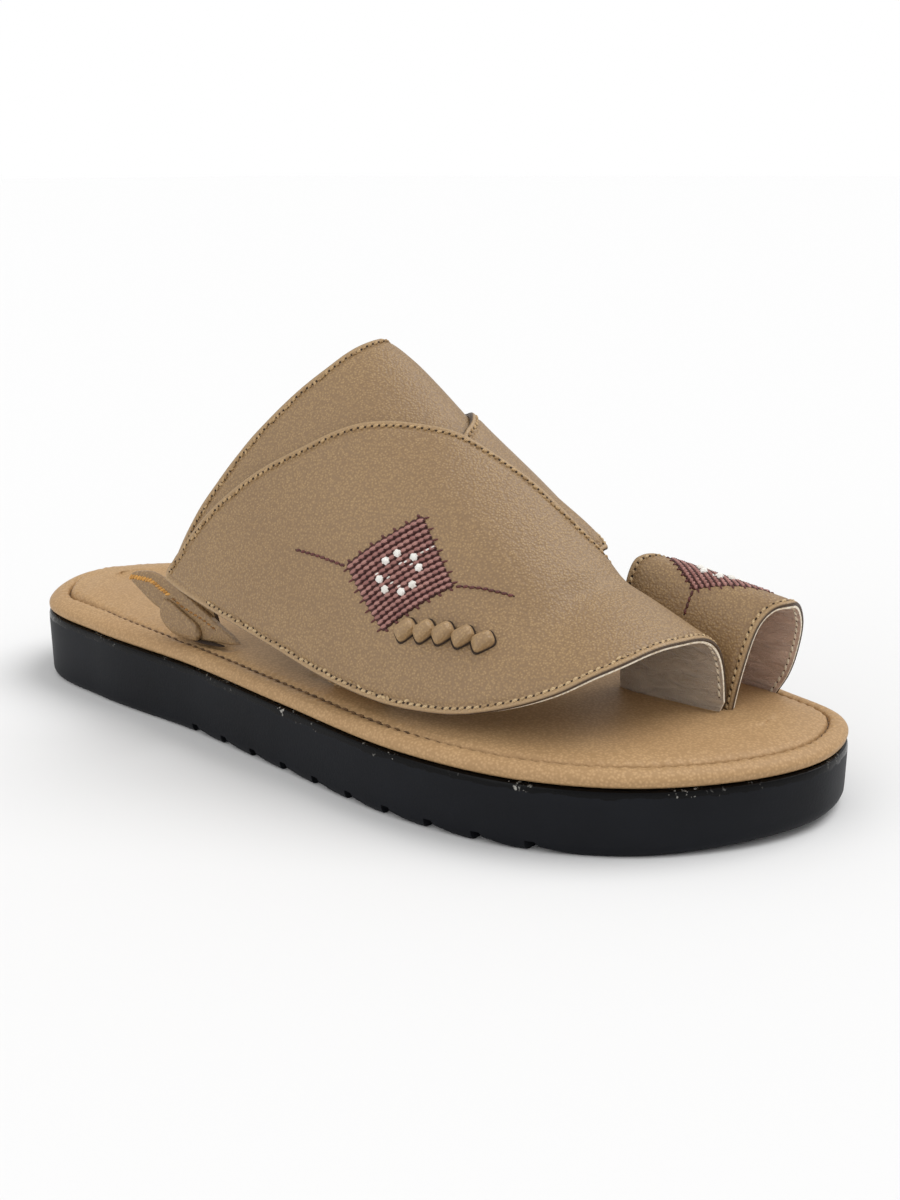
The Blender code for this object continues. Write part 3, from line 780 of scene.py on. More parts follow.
class Table:
    """Rows of sizes with named columns, and a smooth curve through each column that never overshoots."""

    def __init__(self, fields: str, *rows: Sequence[float]) -> None:
        """Keeps the rows.

        Args:
            fields: Column names, the rising key column first.
            rows: One tuple of values a row.
        """
        self.fields = fields.split()
        self.rows = np.array(rows, float)

    @classmethod
    def numbered(cls, fields: str, *rows: Sequence[float]) -> Table:
        """A table whose key is the row number, for rows in no rising order.

        Args:
            fields: Column names.
            rows: One tuple of values a row.

        Returns:
            The table, with the key column "row".
        """
        return cls("row " + fields, *[(i, *row) for i, row in enumerate(rows)])

    @classmethod
    def crosswise(cls, rows: Iterable[Sequence[float]]) -> Table:
        """A table for a strap whose rows each run along the foot at one turn.

        Args:
            rows: Turn, rear x and front x of each row.

        Returns:
            The table, with the rear edge's columns first.
        """
        spread = [(rear, turn, front, turn) for turn, rear, front in rows]
        return cls.numbered("rear_x rear_turn front_x front_turn", *spread)

    @property
    def last(self) -> float:
        """Key of the last row."""
        return float(self.rows[-1, 0])

    def column(self, name: str, at: Array | float) -> Array:
        """Values of one column between the rows.

        Args:
            name: Column name.
            at: Keys, level outside the table.

        Returns:
            One value a key.
        """
        keys, values = self.rows[:, 0], self.rows[:, self.fields.index(name)]
        steps = np.diff(values) / np.diff(keys)
        slopes = np.concatenate([steps[:1], np.zeros(len(keys) - 2), steps[-1:]])
        for i in range(1, len(keys) - 1):
            if steps[i - 1] * steps[i] > 0:
                slopes[i] = 2 * steps[i - 1] * steps[i] / (steps[i - 1] + steps[i])
        at = np.clip(np.asarray(at, float), keys[0], keys[-1])
        i = np.clip(np.searchsorted(keys, at, side="right") - 1, 0, len(keys) - 2)
        span = keys[i + 1] - keys[i]
        t = (at - keys[i]) / span
        start = values[i] * (1 + 2 * t) * (1 - t) ** 2 + slopes[i] * span * t * (1 - t) ** 2
        return start + values[i + 1] * t * t * (3 - 2 * t) - slopes[i + 1] * span * t * t * (1 - t)


def ramp(low: Array | float, high: Array | float, value: Array) -> Array:
    """0 below low, 1 above high, smooth between them."""
    t = np.clip((value - low) / (np.asarray(high, float) - low), 0.0, 1.0)
    return t * t * (3 - 2 * t)


def hump(value: Array, middle: float, width: float) -> Array:
    """1 at the middle, falling to nothing within about two widths."""
    return np.exp(-(((value - middle) / width) ** 2))


def eased(count: int, pull: float = 0.8) -> Array:
    """Positions from 0 to 1 that lie closer together near both ends."""
    even = np.linspace(0.0, 1.0, count)
    return even - pull * np.sin(2 * np.pi * even) / (2 * np.pi)


def lengths(line: Array) -> Array:
    """Distance along a line at each of its points."""
    return np.concatenate([[0.0], np.cumsum(np.linalg.norm(np.diff(line, axis=0), axis=1))])


def resample(line: Array, wanted: Array) -> Array:
    """Points of a line at the wanted distances along it."""
    at = lengths(line)
    return np.stack([np.interp(wanted, at, line[:, k]) for k in range(line.shape[1])], axis=1)


def unit(vectors: Array) -> Array:
    """Vectors of length one."""
    return vectors / np.maximum(np.linalg.norm(vectors, axis=-1, keepdims=True), 1e-9)


def upright(normals: Array) -> Array:
    """Normals, all turned round if most of them point down."""
    return normals if normals[:, 2].sum() > 0 else -normals


def tree_of(points: Array) -> KDTree:
    """A tree that finds the nearest of some points.

    Args:
        points: Points in millimetres.

    Returns:
        The tree.
    """
    tree = KDTree(len(points))
    for i, spot in enumerate(points):
        tree.insert(spot, i)
    tree.balance()
    return tree


SOLE_LEVELS = Table(
    "x top spring",
    (-140, 22.5, 0.0),
    (-70, 21.4, 0.0),
    (0, 19.7, 0.0),
    (50, 18.6, 0.0),
    (108, 18.0, 0.0),
    (140, 17.8, 2.2),
)
SLOT_FLOOR = 1.6


def sole_top(x: Array) -> Array:
    """Height of the outsole's top edge."""
    return SOLE_LEVELS.column("top", x)


class SoleOutline:
    """Outline of the sole as a ring: heel tip, outer side, toe tip, inner side."""

    HALF_LENGTH = 140.0
    TOE_TIP_Y = 14.0
    WIDTHS = Table(
        "x outer inner",
        (-123, 30.0, 30.0),
        (-88, 38.3, 38.3),
        (-42, 41.2, 37.8),
        (0, 47.2, 40.2),
        (50, 53.3, 51.4),
        (86, 48.6, 52.2),
        (113, 34.0, 45.6),
        (133.5, 8.4, 36.0),
    )

    def __init__(self, side_points: int) -> None:
        """Lays the ring.

        Args:
            side_points: Points along each side.
        """
        outer = [(x, -y) for x, y in self.WIDTHS.rows[:, :2]]
        inner = [(x, y) for x, y in self.WIDTHS.rows[::-1, [0, 2]]]
        stations = [(-self.HALF_LENGTH, 0.0), *outer, (self.HALF_LENGTH, self.TOE_TIP_Y), *inner]
        per_span = 60
        dense = self._curve(np.array(stations, float), per_span)
        toe = (len(outer) + 1) * per_span
        halves = (dense[: toe + 1], np.vstack([dense[toe:], dense[:1]]))
        sides = [resample(h, np.linspace(0, lengths(h)[-1], side_points + 1))[:-1] for h in halves]
        self.ring = np.vstack(sides)

    @staticmethod
    def _curve(points: Array, per_span: int) -> Array:
        """Smooth closed curve through the points (centripetal Catmull-Rom).

        Args:
            points: Stations in order.
            per_span: Points between two stations.

        Returns:
            Dense points of the curve.
        """
        dense = []
        count = len(points)
        for i in range(count):
            p = [points[(i + k - 1) % count] for k in range(4)]
            k = np.cumsum([0.0] + [float(np.linalg.norm(p[j + 1] - p[j])) ** 0.5 for j in range(3)])
            t = np.linspace(k[1], k[2], per_span, endpoint=False)[:, None]
            a = [(p[j] * (k[j + 1] - t) + p[j + 1] * (t - k[j])) / (k[j + 1] - k[j]) for j in range(3)]
            b = [(a[j] * (k[j + 2] - t) + a[j + 1] * (t - k[j])) / (k[j + 2] - k[j]) for j in range(2)]
            dense.append((b[0] * (k[2] - t) + b[1] * (t - k[1])) / (k[2] - k[1]))
        return np.vstack(dense)

    def inset(self, distance: Array | float) -> Array:
        """The ring moved inwards along its normals, all round alike or point by point."""
        tangent = unit(np.roll(self.ring, -1, axis=0) - np.roll(self.ring, 1, axis=0))
        return self.ring + np.reshape(distance, (-1, 1)) * np.stack([-tangent[:, 1], tangent[:, 0]], axis=1)

    @staticmethod
    def towards_middle(ring: Array, share: float) -> Array:
        """A ring drawn towards the sole's middle line, share 0.5 on the line itself."""
        partner = np.roll(ring[::-1], 1, axis=0)
        return (1 - share) * ring + share * partner


class Form:
    """Rounded shape that straps lie on: a crest line with a curved flank on each side."""

    PROBE = 0.2

    def __init__(self, stations: Table) -> None:
        """Keeps the stations.

        Args:
            stations: x crest_y crest_z outer_y inner_y outer_full inner_full, full 2 for a round flank.
        """
        self.stations = stations

    def _section(self, x: Array, outer: Array) -> tuple[Array, Array, Array, Array, Array]:
        """Crest, flank, fullness and floor of the sections at x.

        Args:
            x: Stations along the foot.
            outer: True where the outer flank is wanted.

        Returns:
            Crest y, crest z, flank y, fullness and floor height.
        """
        get = self.stations.column
        flank = np.where(outer, get("outer_y", x), get("inner_y", x))
        full = np.where(outer, get("outer_full", x), get("inner_full", x))
        return get("crest_y", x), get("crest_z", x), flank, full, sole_top(x) + SLOT_FLOOR

    def point(self, x: Array, turn: Array) -> Array:
        """Points on the form's skin.

        Args:
            x: Stations along the foot.
            turn: Degrees round the section, 0 at the outer base, 90 on the crest, 180 inside.

        Returns:
            Points in millimetres.
        """
        x, turn = np.broadcast_arrays(np.asarray(x, float), np.asarray(turn, float))
        crest_y, crest_z, flank, full, floor = self._section(x, turn < 90)
        cosine = np.abs(np.cos(np.radians(turn))) ** (2 / full)
        sine = np.abs(np.sin(np.radians(turn))) ** (2 / full)
        return np.stack([x, crest_y + (flank - crest_y) * cosine, floor + (crest_z - floor) * sine], axis=-1)

    def _level(self, points: Array) -> Array:
        """How far out points lie.

        Args:
            points: Points in millimetres.

        Returns:
            1 on the form's skin, more outside it.
        """
        crest_y = self.stations.column("crest_y", points[..., 0])
        crest_y, crest_z, flank, full, floor = self._section(points[..., 0], points[..., 1] < crest_y)
        across = np.abs((points[..., 1] - crest_y) / (flank - crest_y))
        up = np.maximum(points[..., 2] - floor, 0.0) / (crest_z - floor)
        return across**full + up**full

    def lifted(self, x: Array, turn: Array, lift: Array | float) -> Array:
        """Points off the form's skin.

        Args:
            x: Stations along the foot.
            turn: Degrees round the section.
            lift: Distance off the skin.

        Returns:
            Points in millimetres.
        """
        points = self.point(x, turn)
        shifts = np.eye(3) * self.PROBE
        slope = np.stack([self._level(points + s) - self._level(points - s) for s in shifts], axis=-1)
        return points + unit(slope) * np.asarray(lift, float)[..., None]


INSTEP = Form(
    Table(
        "x crest_y crest_z outer_y inner_y outer_full inner_full",
        (-62, 3, 128.0, -38.0, 34, 1.55, 1.55),
        (-30, 4, 124.0, -42.0, 36, 1.55, 1.55),
        (0, 4, 114.3, -44.5, 38, 1.55, 1.55),
        (30, 4, 92.4, -46.0, 40, 1.55, 1.55),
        (54, 4, 75.4, -44.5, 36, 1.55, 1.55),
        (74, 3, 58.2, -41.5, 12, 1.6, 1.9),
        (90, 0, 51.4, -39.5, 11, 1.8, 2.7),
        (112, -5, 42.1, -40.0, 11, 2.1, 3.4),
    )
)
BIG_TOE = Form(
    Table(
        "x crest_y crest_z outer_y inner_y outer_full inner_full",
        (70, 28.5, 59.1, 18.2, 40.5, 2.1, 2.1),
        (122, 28.5, 51.2, 18.2, 40.5, 2.1, 2.1),
    )
)


# Straps


class Side(Enum):
    """Edges of a strap's grid."""

    FIRST = "first row"
    LAST = "last row"
    NEAR = "first column"
    FAR = "last column"


class Sheet:
    """A strap's face as a grid of points, with normals and each point's distance from the edges that show."""

    INWARD = 3
    RIM_STEP = 0.25
    SEAM_STEP = 0.4
    SEAM_SLACK = 0.9

    def __init__(self, points: Array, sides: Sequence[Side]) -> None:
        """Works out normals and edge distances.

        Args:
            points: Rows, columns and xyz in millimetres.
            sides: Edges that show.
        """
        self.points = points
        self.sides = sides
        self.normals = self._outward()
        self.edge = self._from_edges()
        self.tree = tree_of(points.reshape(-1, 3))

    def _outward(self) -> Array:
        """Works out the normals.

        Returns:
            Normals that point away from the foot.
        """
        normals = unit(np.cross(np.gradient(self.points, axis=1), np.gradient(self.points, axis=0)))
        rows, columns = self.points.shape[:2]
        hollow = np.array([self.points[..., 0].mean(), self.points[rows // 2, columns // 2, 1], 0.0])
        return normals if ((self.points - hollow) * normals).sum() > 0 else -normals

    def line(self, side: Side) -> tuple[Array, Array, Array]:
        """One edge of the grid.

        Args:
            side: Which edge.

        Returns:
            The edge's points, points a few steps further in, and the normals.
        """
        inward = self.INWARD
        pick = {
            Side.FIRST: (np.s_[0], np.s_[inward]),
            Side.LAST: (np.s_[-1], np.s_[-1 - inward]),
            Side.NEAR: (np.s_[:, 0], np.s_[:, inward]),
            Side.FAR: (np.s_[:, -1], np.s_[:, -1 - inward]),
        }[side]
        return self.points[pick[0]], self.points[pick[1]], self.normals[pick[0]]

    def _from_edges(self) -> Array:
        """Measures every point from the nearest edge that shows.

        Returns:
            One distance a point of the grid.
        """
        rims = []
        for side in self.sides:
            rim = self.line(side)[0]
            rims.append(resample(rim, np.arange(0.0, lengths(rim)[-1], self.RIM_STEP)))
        tree = tree_of(np.vstack(rims))
        flat = [tree.find(spot)[2] for spot in self.points.reshape(-1, 3)]
        return np.array(flat).reshape(self.points.shape[:2])

    def raised(self, height: Array | float) -> Array:
        """The grid's points moved out along their normals."""
        return self.points + self.normals * np.broadcast_to(height, self.edge.shape)[..., None]

    def project(self, spots: Array) -> tuple[Array, Array]:
        """Brings points onto the sheet.

        Args:
            spots: Points close to the sheet.

        Returns:
            Points on the sheet and the normals there.
        """
        found = [self.tree.find(spot)[1] for spot in spots]
        base = self.points.reshape(-1, 3)[found]
        normals = self.normals.reshape(-1, 3)[found]
        off = ((spots - base) * normals).sum(axis=1, keepdims=True)
        return spots - off * normals, normals

    def seam(self, side: Side, distance: float) -> tuple[Array, Array]:
        """A line that runs inside one edge.

        Args:
            side: Edge that it follows.
            distance: How far in it runs.

        Returns:
            Points of the line and the normals under it.
        """
        rim, inner, normals = self.line(side)
        along = unit(np.gradient(rim, axis=0))
        inward = inner - rim
        inward = unit(inward - (inward * along).sum(axis=1, keepdims=True) * along)
        spots = rim + inward * distance
        wanted = np.arange(0.0, lengths(spots)[-1], self.SEAM_STEP)
        spots, normals = self.project(resample(spots, wanted))
        found = [self.tree.find(spot)[1] for spot in spots]
        inside = self.edge.reshape(-1)[found] > distance - self.SEAM_SLACK
        return spots[inside], normals[inside]


@dataclass(frozen=True)
class Crease:
    """A soft trough or ridge on a strap, from one spot of the form to another."""

    start: Pair
    end: Pair
    width: float
    height: float
    mm_per_degree: float = 1.0

    def on(self, x: Array, turn: Array) -> Array:
        """Height that the crease adds at each point.

        Args:
            x: Stations along the foot.
            turn: Degrees round the form.

        Returns:
            Height off the plain face.
        """
        scale = np.array([1.0, self.mm_per_degree])
        spot = np.stack([x, turn], axis=-1) * scale
        start, end = np.array(self.start) * scale, np.array(self.end) * scale
        run = end - start
        t = np.clip(((spot - start) @ run) / (run @ run), 0.0, 1.0)
        away = np.linalg.norm(spot - (start + t[..., None] * run), axis=-1)
        swell = np.sin(np.pi * np.clip(t, 0.04, 0.96))
        return self.height * swell * hump(away, 0.0, self.width)


@dataclass
class Strap:
    """A lined leather strap laid on a form."""

    name: str
    form: Form
    rows: Table
    lift: Callable[[Array, Array], Array]
    grow: float
    sides: tuple[Side, ...]
    grid: tuple[int, int]
    row_pull: float = 0.6
    tuck: Callable[[Array], Array] | None = None
    creases: tuple[Crease, ...] = ()
    lining: Finish = GREY_LINING
    backing: Finish = PALE_EDGE
    leather_thickness: float = 1.15
    wall: float = 1.8
    stitch_inset: float = SEAM_INSET
    groove: float = 0.36
    groove_width: float = 0.7
    worn_edge: float = 0.30
    worn_width: float = 0.7
    glue_gap: float = 0.02
    leather_puff: float = 0.25
    lining_puff: float = 0.1
    fair_passes: int = 0

    def _spread(self, at: Array, across: Array) -> tuple[Array, Array]:
        """Spots of the strap on the form.

        Args:
            at: Row numbers.
            across: Shares from the near edge to the far one.

        Returns:
            Stations x and turns, one row a row number.
        """
        near_x, near_turn, far_x, far_turn = (self.rows.column(n, at)[:, None] for n in self.rows.fields[1:])
        return near_x + (far_x - near_x) * across, near_turn + (far_turn - near_turn) * across

    def chart(self) -> tuple[Array, Array]:
        """Spaces a grid over the strap.

        Returns:
            Stations and turns of the grid, closer together near the edges.
        """
        trial = np.linspace(0.0, self.rows.last, 400)
        path = self.form.point(*self._spread(trial, np.linspace(0, 1, 7)))
        steps = np.linalg.norm(np.diff(path, axis=0), axis=2).max(axis=1)
        gone = np.concatenate([[0.0], np.cumsum(steps)])
        at = np.interp(eased(self.grid[0], self.row_pull) * gone[-1], gone, trial)
        return self._spread(at, eased(self.grid[1]))

    def _fair(self, points: Array) -> Array:
        """Draws rows towards their neighbours, so that the strap runs smoothly over the form's crest.

        Args:
            points: Grid of the strap.

        Returns:
            The grid with its rows smoothed along the strap.
        """
        fair = points.copy()
        for _ in range(self.fair_passes):
            fair[1:-1] += 0.25 * (fair[:-2] + fair[2:] - 2 * fair[1:-1])
        return fair

    def build(self, node: str = "") -> tuple[Sheet, Sheet]:
        """Builds the leather and its lining.

        Args:
            node: CAD node that the leather stands for, if any.

        Returns:
            The leather's outer face and the lining's inner face, for seams.
        """
        x, turn = self.chart()
        points = self._fair(self.form.lifted(x, turn, self.lift(x, turn)))
        plain = Sheet(self.tuck(points) if self.tuck else points, self.sides)
        height = np.full(x.shape, self.grow)
        for crease in self.creases:
            height = height + crease.on(x, turn)
        sunk = self.groove * hump(plain.edge, self.stitch_inset, self.groove_width)
        sunk = sunk + self.worn_edge * np.clip(1 - plain.edge / self.worn_width, 0, 1) ** 2
        face = Sheet(plain.raised(height - sunk), self.sides)
        back = plain.raised(height - self.leather_thickness)
        leather = self.slab(self.name, face.points, back, plain.edge, self.leather_puff)
        dress(leather, UPPER_LEATHER, CUT_EDGE_AND_SHADE, node=node)
        across = [*range(0, self.grid[1] - 1, 2), self.grid[1] - 1]
        top = plain.raised(height - self.leather_thickness - self.glue_gap)[:, across]
        under = plain.raised(height - self.wall)
        edge = plain.edge[:, across]
        lining = self.slab(self.name + "_lining", top, under[:, across], edge, self.lining_puff)
        dress(lining, self.lining, self.backing)
        return face, Sheet(under, self.sides)

    @staticmethod
    def slab(name: str, outer: Array, inner: Array, edge: Array, puff: float) -> Piece:
        """Lofts a closed layer between two faces, with a rim that bulges a little.

        Args:
            name: Name of the piece.
            outer: Grid of its outer face.
            inner: Grid of its inner face.
            edge: Distance of each point from the strap's edges.
            puff: Bulge of the rim as a share of the layer's thickness.

        Returns:
            The piece, with its rim faces on the second material slot.
        """
        middle = (outer + inner) / 2

        def bulge(column: int, inwards: int) -> Array:
            """Points that stand out from the middle of an edge, square to its run.

            Args:
                column: Column of the edge.
                inwards: Column a few steps further in.

            Returns:
                One point a row.
            """
            run = unit(np.gradient(middle[:, column], axis=0))
            away = middle[:, column] - middle[:, inwards]
            away = unit(away - run * np.sum(away * run, axis=1, keepdims=True))
            wall = np.linalg.norm(outer[:, column] - inner[:, column], axis=1, keepdims=True)
            return middle[:, column] + away * wall * puff

        near, far = bulge(0, Sheet.INWARD), bulge(-1, -1 - Sheet.INWARD)

        def around(first: Array, second: Array, end: Array, start: Array) -> Array:
            """One face, the far rim, the other face backwards, the near rim, and the start again."""
            ring = [first, end[:, None], second[:, ::-1], start[:, None], first[:, :1]]
            return np.concatenate(ring, axis=1)

        rings = around(outer, inner, far, near)
        caps = around(middle, middle, middle[:, -1], middle[:, 0])
        piece = lay_grid(name, np.concatenate([caps[:1], rings, caps[-1:]]))
        values = around(edge, edge, edge[:, -1], edge[:, 0])
        keep_value(piece, "edge", np.concatenate([values[:1], values, values[-1:]]))
        count = outer.shape[1]
        rim = np.zeros((rings.shape[0] + 1, rings.shape[1] - 1), np.int32)
        rim[:, [count - 1, count, -2, -1]] = 1
        rim[[0, -1]] = 1
        piece.data.polygons.foreach_set("material_index", rim.ravel())
        close_mesh(piece)
        return piece


# Stitches


class Mould:
    """A small round shape modelled once, of which many copies are pressed into one mesh."""

    DARKEST = 0.7

    def __init__(self, segments: int = 6, rings: int = 6, bow: float = 0.0) -> None:
        """Models the shape.

        Args:
            segments: Faces round it.
            rings: Faces along it.
            bow: How far its ends dip under its middle, as a share of its height.
        """
        deselect_all()
        bpy.ops.mesh.primitive_uv_sphere_add(
            segments=segments, ring_count=rings, rotation=(0, math.pi / 2, 0)
        )
        bpy.ops.object.transform_apply(location=False, rotation=True, scale=False)
        shape = bpy.context.object
        self.spots = spots_of(shape)
        self.spots[:, 2] -= bow * self.spots[:, 0] ** 2
        self.faces = [np.array(face.vertices) for face in shape.data.polygons]
        bpy.data.objects.remove(shape)

    def press(
        self, name: str, middles: Array, along: Array, normals: Array, sizes: Array, finish: Finish
    ) -> Piece:
        """Presses copies into one piece.

        Args:
            name: Name of the piece.
            middles: Where the copies lie.
            along: Which way each one runs.
            normals: Which way is up on each one.
            sizes: Length, width and height of each one.
            finish: Their finish.

        Returns:
            The dressed piece.
        """
        side = unit(np.cross(normals, along))
        up = np.cross(unit(along), side)
        half = np.asarray(sizes, float) / 2
        local = self.spots[None] * half[:, None]
        spots = (
            middles[:, None]
            + local[..., 0:1] * unit(along)[:, None]
            + local[..., 1:2] * side[:, None]
            + local[..., 2:3] * up[:, None]
        )
        faces = [tuple(face + i * len(self.spots)) for i in range(len(middles)) for face in self.faces]
        mesh = bpy.data.meshes.new(name)
        mesh.from_pydata((spots.reshape(-1, 3) * MM).tolist(), [], faces)
        piece = bpy.data.objects.new(name, mesh)
        bpy.context.collection.objects.link(piece)
        # Most stitches are light, and a few are much darker.
        tones = np.random.default_rng(len(middles)).random(len(middles)) ** 2
        keep_value(piece, "tone", np.repeat(tones * self.DARKEST, len(self.spots)))
        keep_value(piece, "twist", local[..., 0] + local[..., 1])
        return dress(piece, finish, smooth=180.0)


@dataclass(frozen=True)
class Stitching:
    """A row of slightly slanted lockstitches with a dark bead of painted shade for the needle hole between
    each two.
    """

    thread: Finish
    pitch: float = 2.1
    length: float = 1.75
    width: float = 0.95
    height: float = 0.8
    # Size of the dark bead of painted shade in each needle hole.
    hole: float = 0.95
    hole_height: float = 0.2
    slant: float = 0.3
    seat: float = 0.08
    bow: float = 0.55
    wobble: float = 0.05
    run_step: float = 0.3

    def sew(self, name: str, line: Array, normals: Array) -> None:
        """Sews along a line.

        Args:
            name: Name of the row.
            line: Points of the line in millimetres.
            normals: Normals of the leather under it.
        """
        at = lengths(line)
        count = int(at[-1] / self.pitch)
        if count < 2:
            return

        def frame(where: Array) -> tuple[Array, Array, Array]:
            """Finds places on the line.

            Args:
                where: Distances along the line.

            Returns:
                Spots, directions and normals there.
            """
            spots = resample(line, where)
            run = resample(line, where + self.run_step) - resample(line, where - self.run_step)
            up = np.stack([np.interp(where, at, normals[:, k]) for k in range(3)], axis=1)
            return spots, unit(run), unit(up)

        spots, run, up = frame((np.arange(count) + 0.5) * self.pitch)
        wobble = np.random.default_rng(count).normal(0.0, self.wobble, (count, 1))
        spots = spots + np.cross(up, run) * wobble + up * self.seat
        run = run + np.cross(up, run) * self.slant
        sizes = np.tile([self.length, self.width, self.height], (count, 1))
        Mould(bow=self.bow).press(name, spots, run, up, sizes, self.thread)
        # Each needle hole is a dark bead of painted shade.
        ends = np.arange(count + 1) * self.pitch
        spots, run, up = frame(np.clip(ends, self.run_step, at[-1] - self.run_step))
        sizes = np.tile([self.hole, self.hole * 0.8, self.hole_height], (count + 1, 1))
        Mould().press(name + "_holes", spots, run, up, sizes, NEEDLE_HOLE_SHADOW)


EDGE_STITCH = Stitching(CREAM_THREAD)
TOP_STITCH = Stitching(TAN_THREAD, pitch=2.0, length=1.75, hole=0.8, slant=0.45)
INSOLE_STITCH = Stitching(
    BROWN_THREAD, pitch=3.4, length=2.6, width=0.9, height=0.9, hole=1.3, seat=0.2
)
TAIL_STITCH = Stitching(DARK_MAROON_THREAD, pitch=1.75, length=1.8, width=0.85, height=0.8, hole=0.6)
LINING_STITCH = Stitching(PALE_THREAD, pitch=2.2, length=2.0, width=0.8, height=0.7, hole=0.5)
EAR_STITCH = Stitching(
    AMBER_THREAD, pitch=1.15, length=2.5, width=1.0, height=0.9, hole=0.5, slant=0.9
)
EAR_TAIL_STITCH = Stitching(
    AMBER_BROWN_THREAD, pitch=1.9, length=1.8, width=0.75, height=0.6, hole=0.9, slant=0.4
)


# Sole


@dataclass
class Outsole:
    """Rubber sole with straight sides, a rounded tread edge and saw-tooth grooves."""

    side_points: int = 230
    tread_edge: Table = Table(
        "inset rise", (0.2, 3.4), (0.3, 2.0), (0.75, 0.9), (1.4, 0.25), (2.6, 0.0)
    )
    top_edge: Table = Table(
        "inset drop", (0.0, 2.4), (0.05, 1.1), (0.3, 0.4), (0.8, 0.06), (1.6, 0.0)
    )
    groove_count: int = 10
    groove_first_x: float = -42.0
    groove_pitch: float = 14.35
    groove_depth: float = 2.9
    groove_flat: float = 2.4
    tooth_start: float = 3.4
    tooth_rise: float = 1.8
    tooth_end: float = 13.0
    reach: float = 64.0
    below: float = -5.0

    def build(self) -> None:
        """Lofts the sole and cuts its tread."""
        outline = SoleOutline(self.side_points)
        rings = []
        shares = np.linspace(0.5, 0.06, 8)
        foot = outline.inset(self.tread_edge.rows[-1, 0])
        for share in shares:
            rings.append(self._at_rise(outline.towards_middle(foot, share), 0.0))
        for inset, rise in self.tread_edge.rows[::-1]:
            rings.append(self._at_rise(outline.inset(inset), rise))
        for inset, drop in self.top_edge.rows:
            rings.append(self._at_drop(outline.inset(inset), drop))
        brim = outline.inset(self.top_edge.rows[-1, 0])
        for share in shares[::-1]:
            rings.append(self._at_drop(outline.towards_middle(brim, share), 0.0))
        sole = loft("rubber_outsole", rings)
        cutter = self._groove_cutter()
        modify(sole, "BOOLEAN", operation="DIFFERENCE", object=cutter, solver="EXACT")
        bpy.data.objects.remove(cutter)
        spots = spots_of(sole) / MM
        keep_value(sole, "drop", sole_top(spots[:, 0]) - spots[:, 2])
        dress(sole, SOLE_RUBBER, node="outsole", smooth=30.0)

    @staticmethod
    def _at_rise(ring: Array, rise: float) -> Array:
        """A ring at a height over the tread."""
        return np.column_stack([ring, SOLE_LEVELS.column("spring", ring[:, 0]) + rise])

    @staticmethod
    def _at_drop(ring: Array, drop: float) -> Array:
        """A ring under the top edge."""
        return np.column_stack([ring, sole_top(ring[:, 0]) - drop])

    def _groove_cutter(self) -> Piece:
        """Makes one cutter for all grooves: a slot each, and a long low ramp that leaves a saw tooth.

        Returns:
            The cutter.
        """
        deselect_all()
        bpy.ops.mesh.primitive_cylinder_add(vertices=6, depth=2.0)
        cutter = bpy.context.object
        x = self.groove_first_x
        section = [
            (x, self.below),
            (x, self.groove_depth),
            (x + self.groove_flat, self.groove_depth),
            (x + self.tooth_start, self.tooth_rise),
            (x + self.tooth_end, -0.05),
            (x + self.tooth_end, self.below),
        ]
        for i, (sx, sz) in enumerate(section):
            for k, y in enumerate((-self.reach, self.reach)):
                cutter.data.vertices[2 * i + k].co = Vector((sx, y, sz)) * MM
        close_mesh(cutter)
        modify(
            cutter,
            "ARRAY",
            count=self.groove_count,
            use_relative_offset=False,
            use_constant_offset=True,
            constant_offset_displace=(self.groove_pitch * MM, 0, 0),
        )
        return cutter


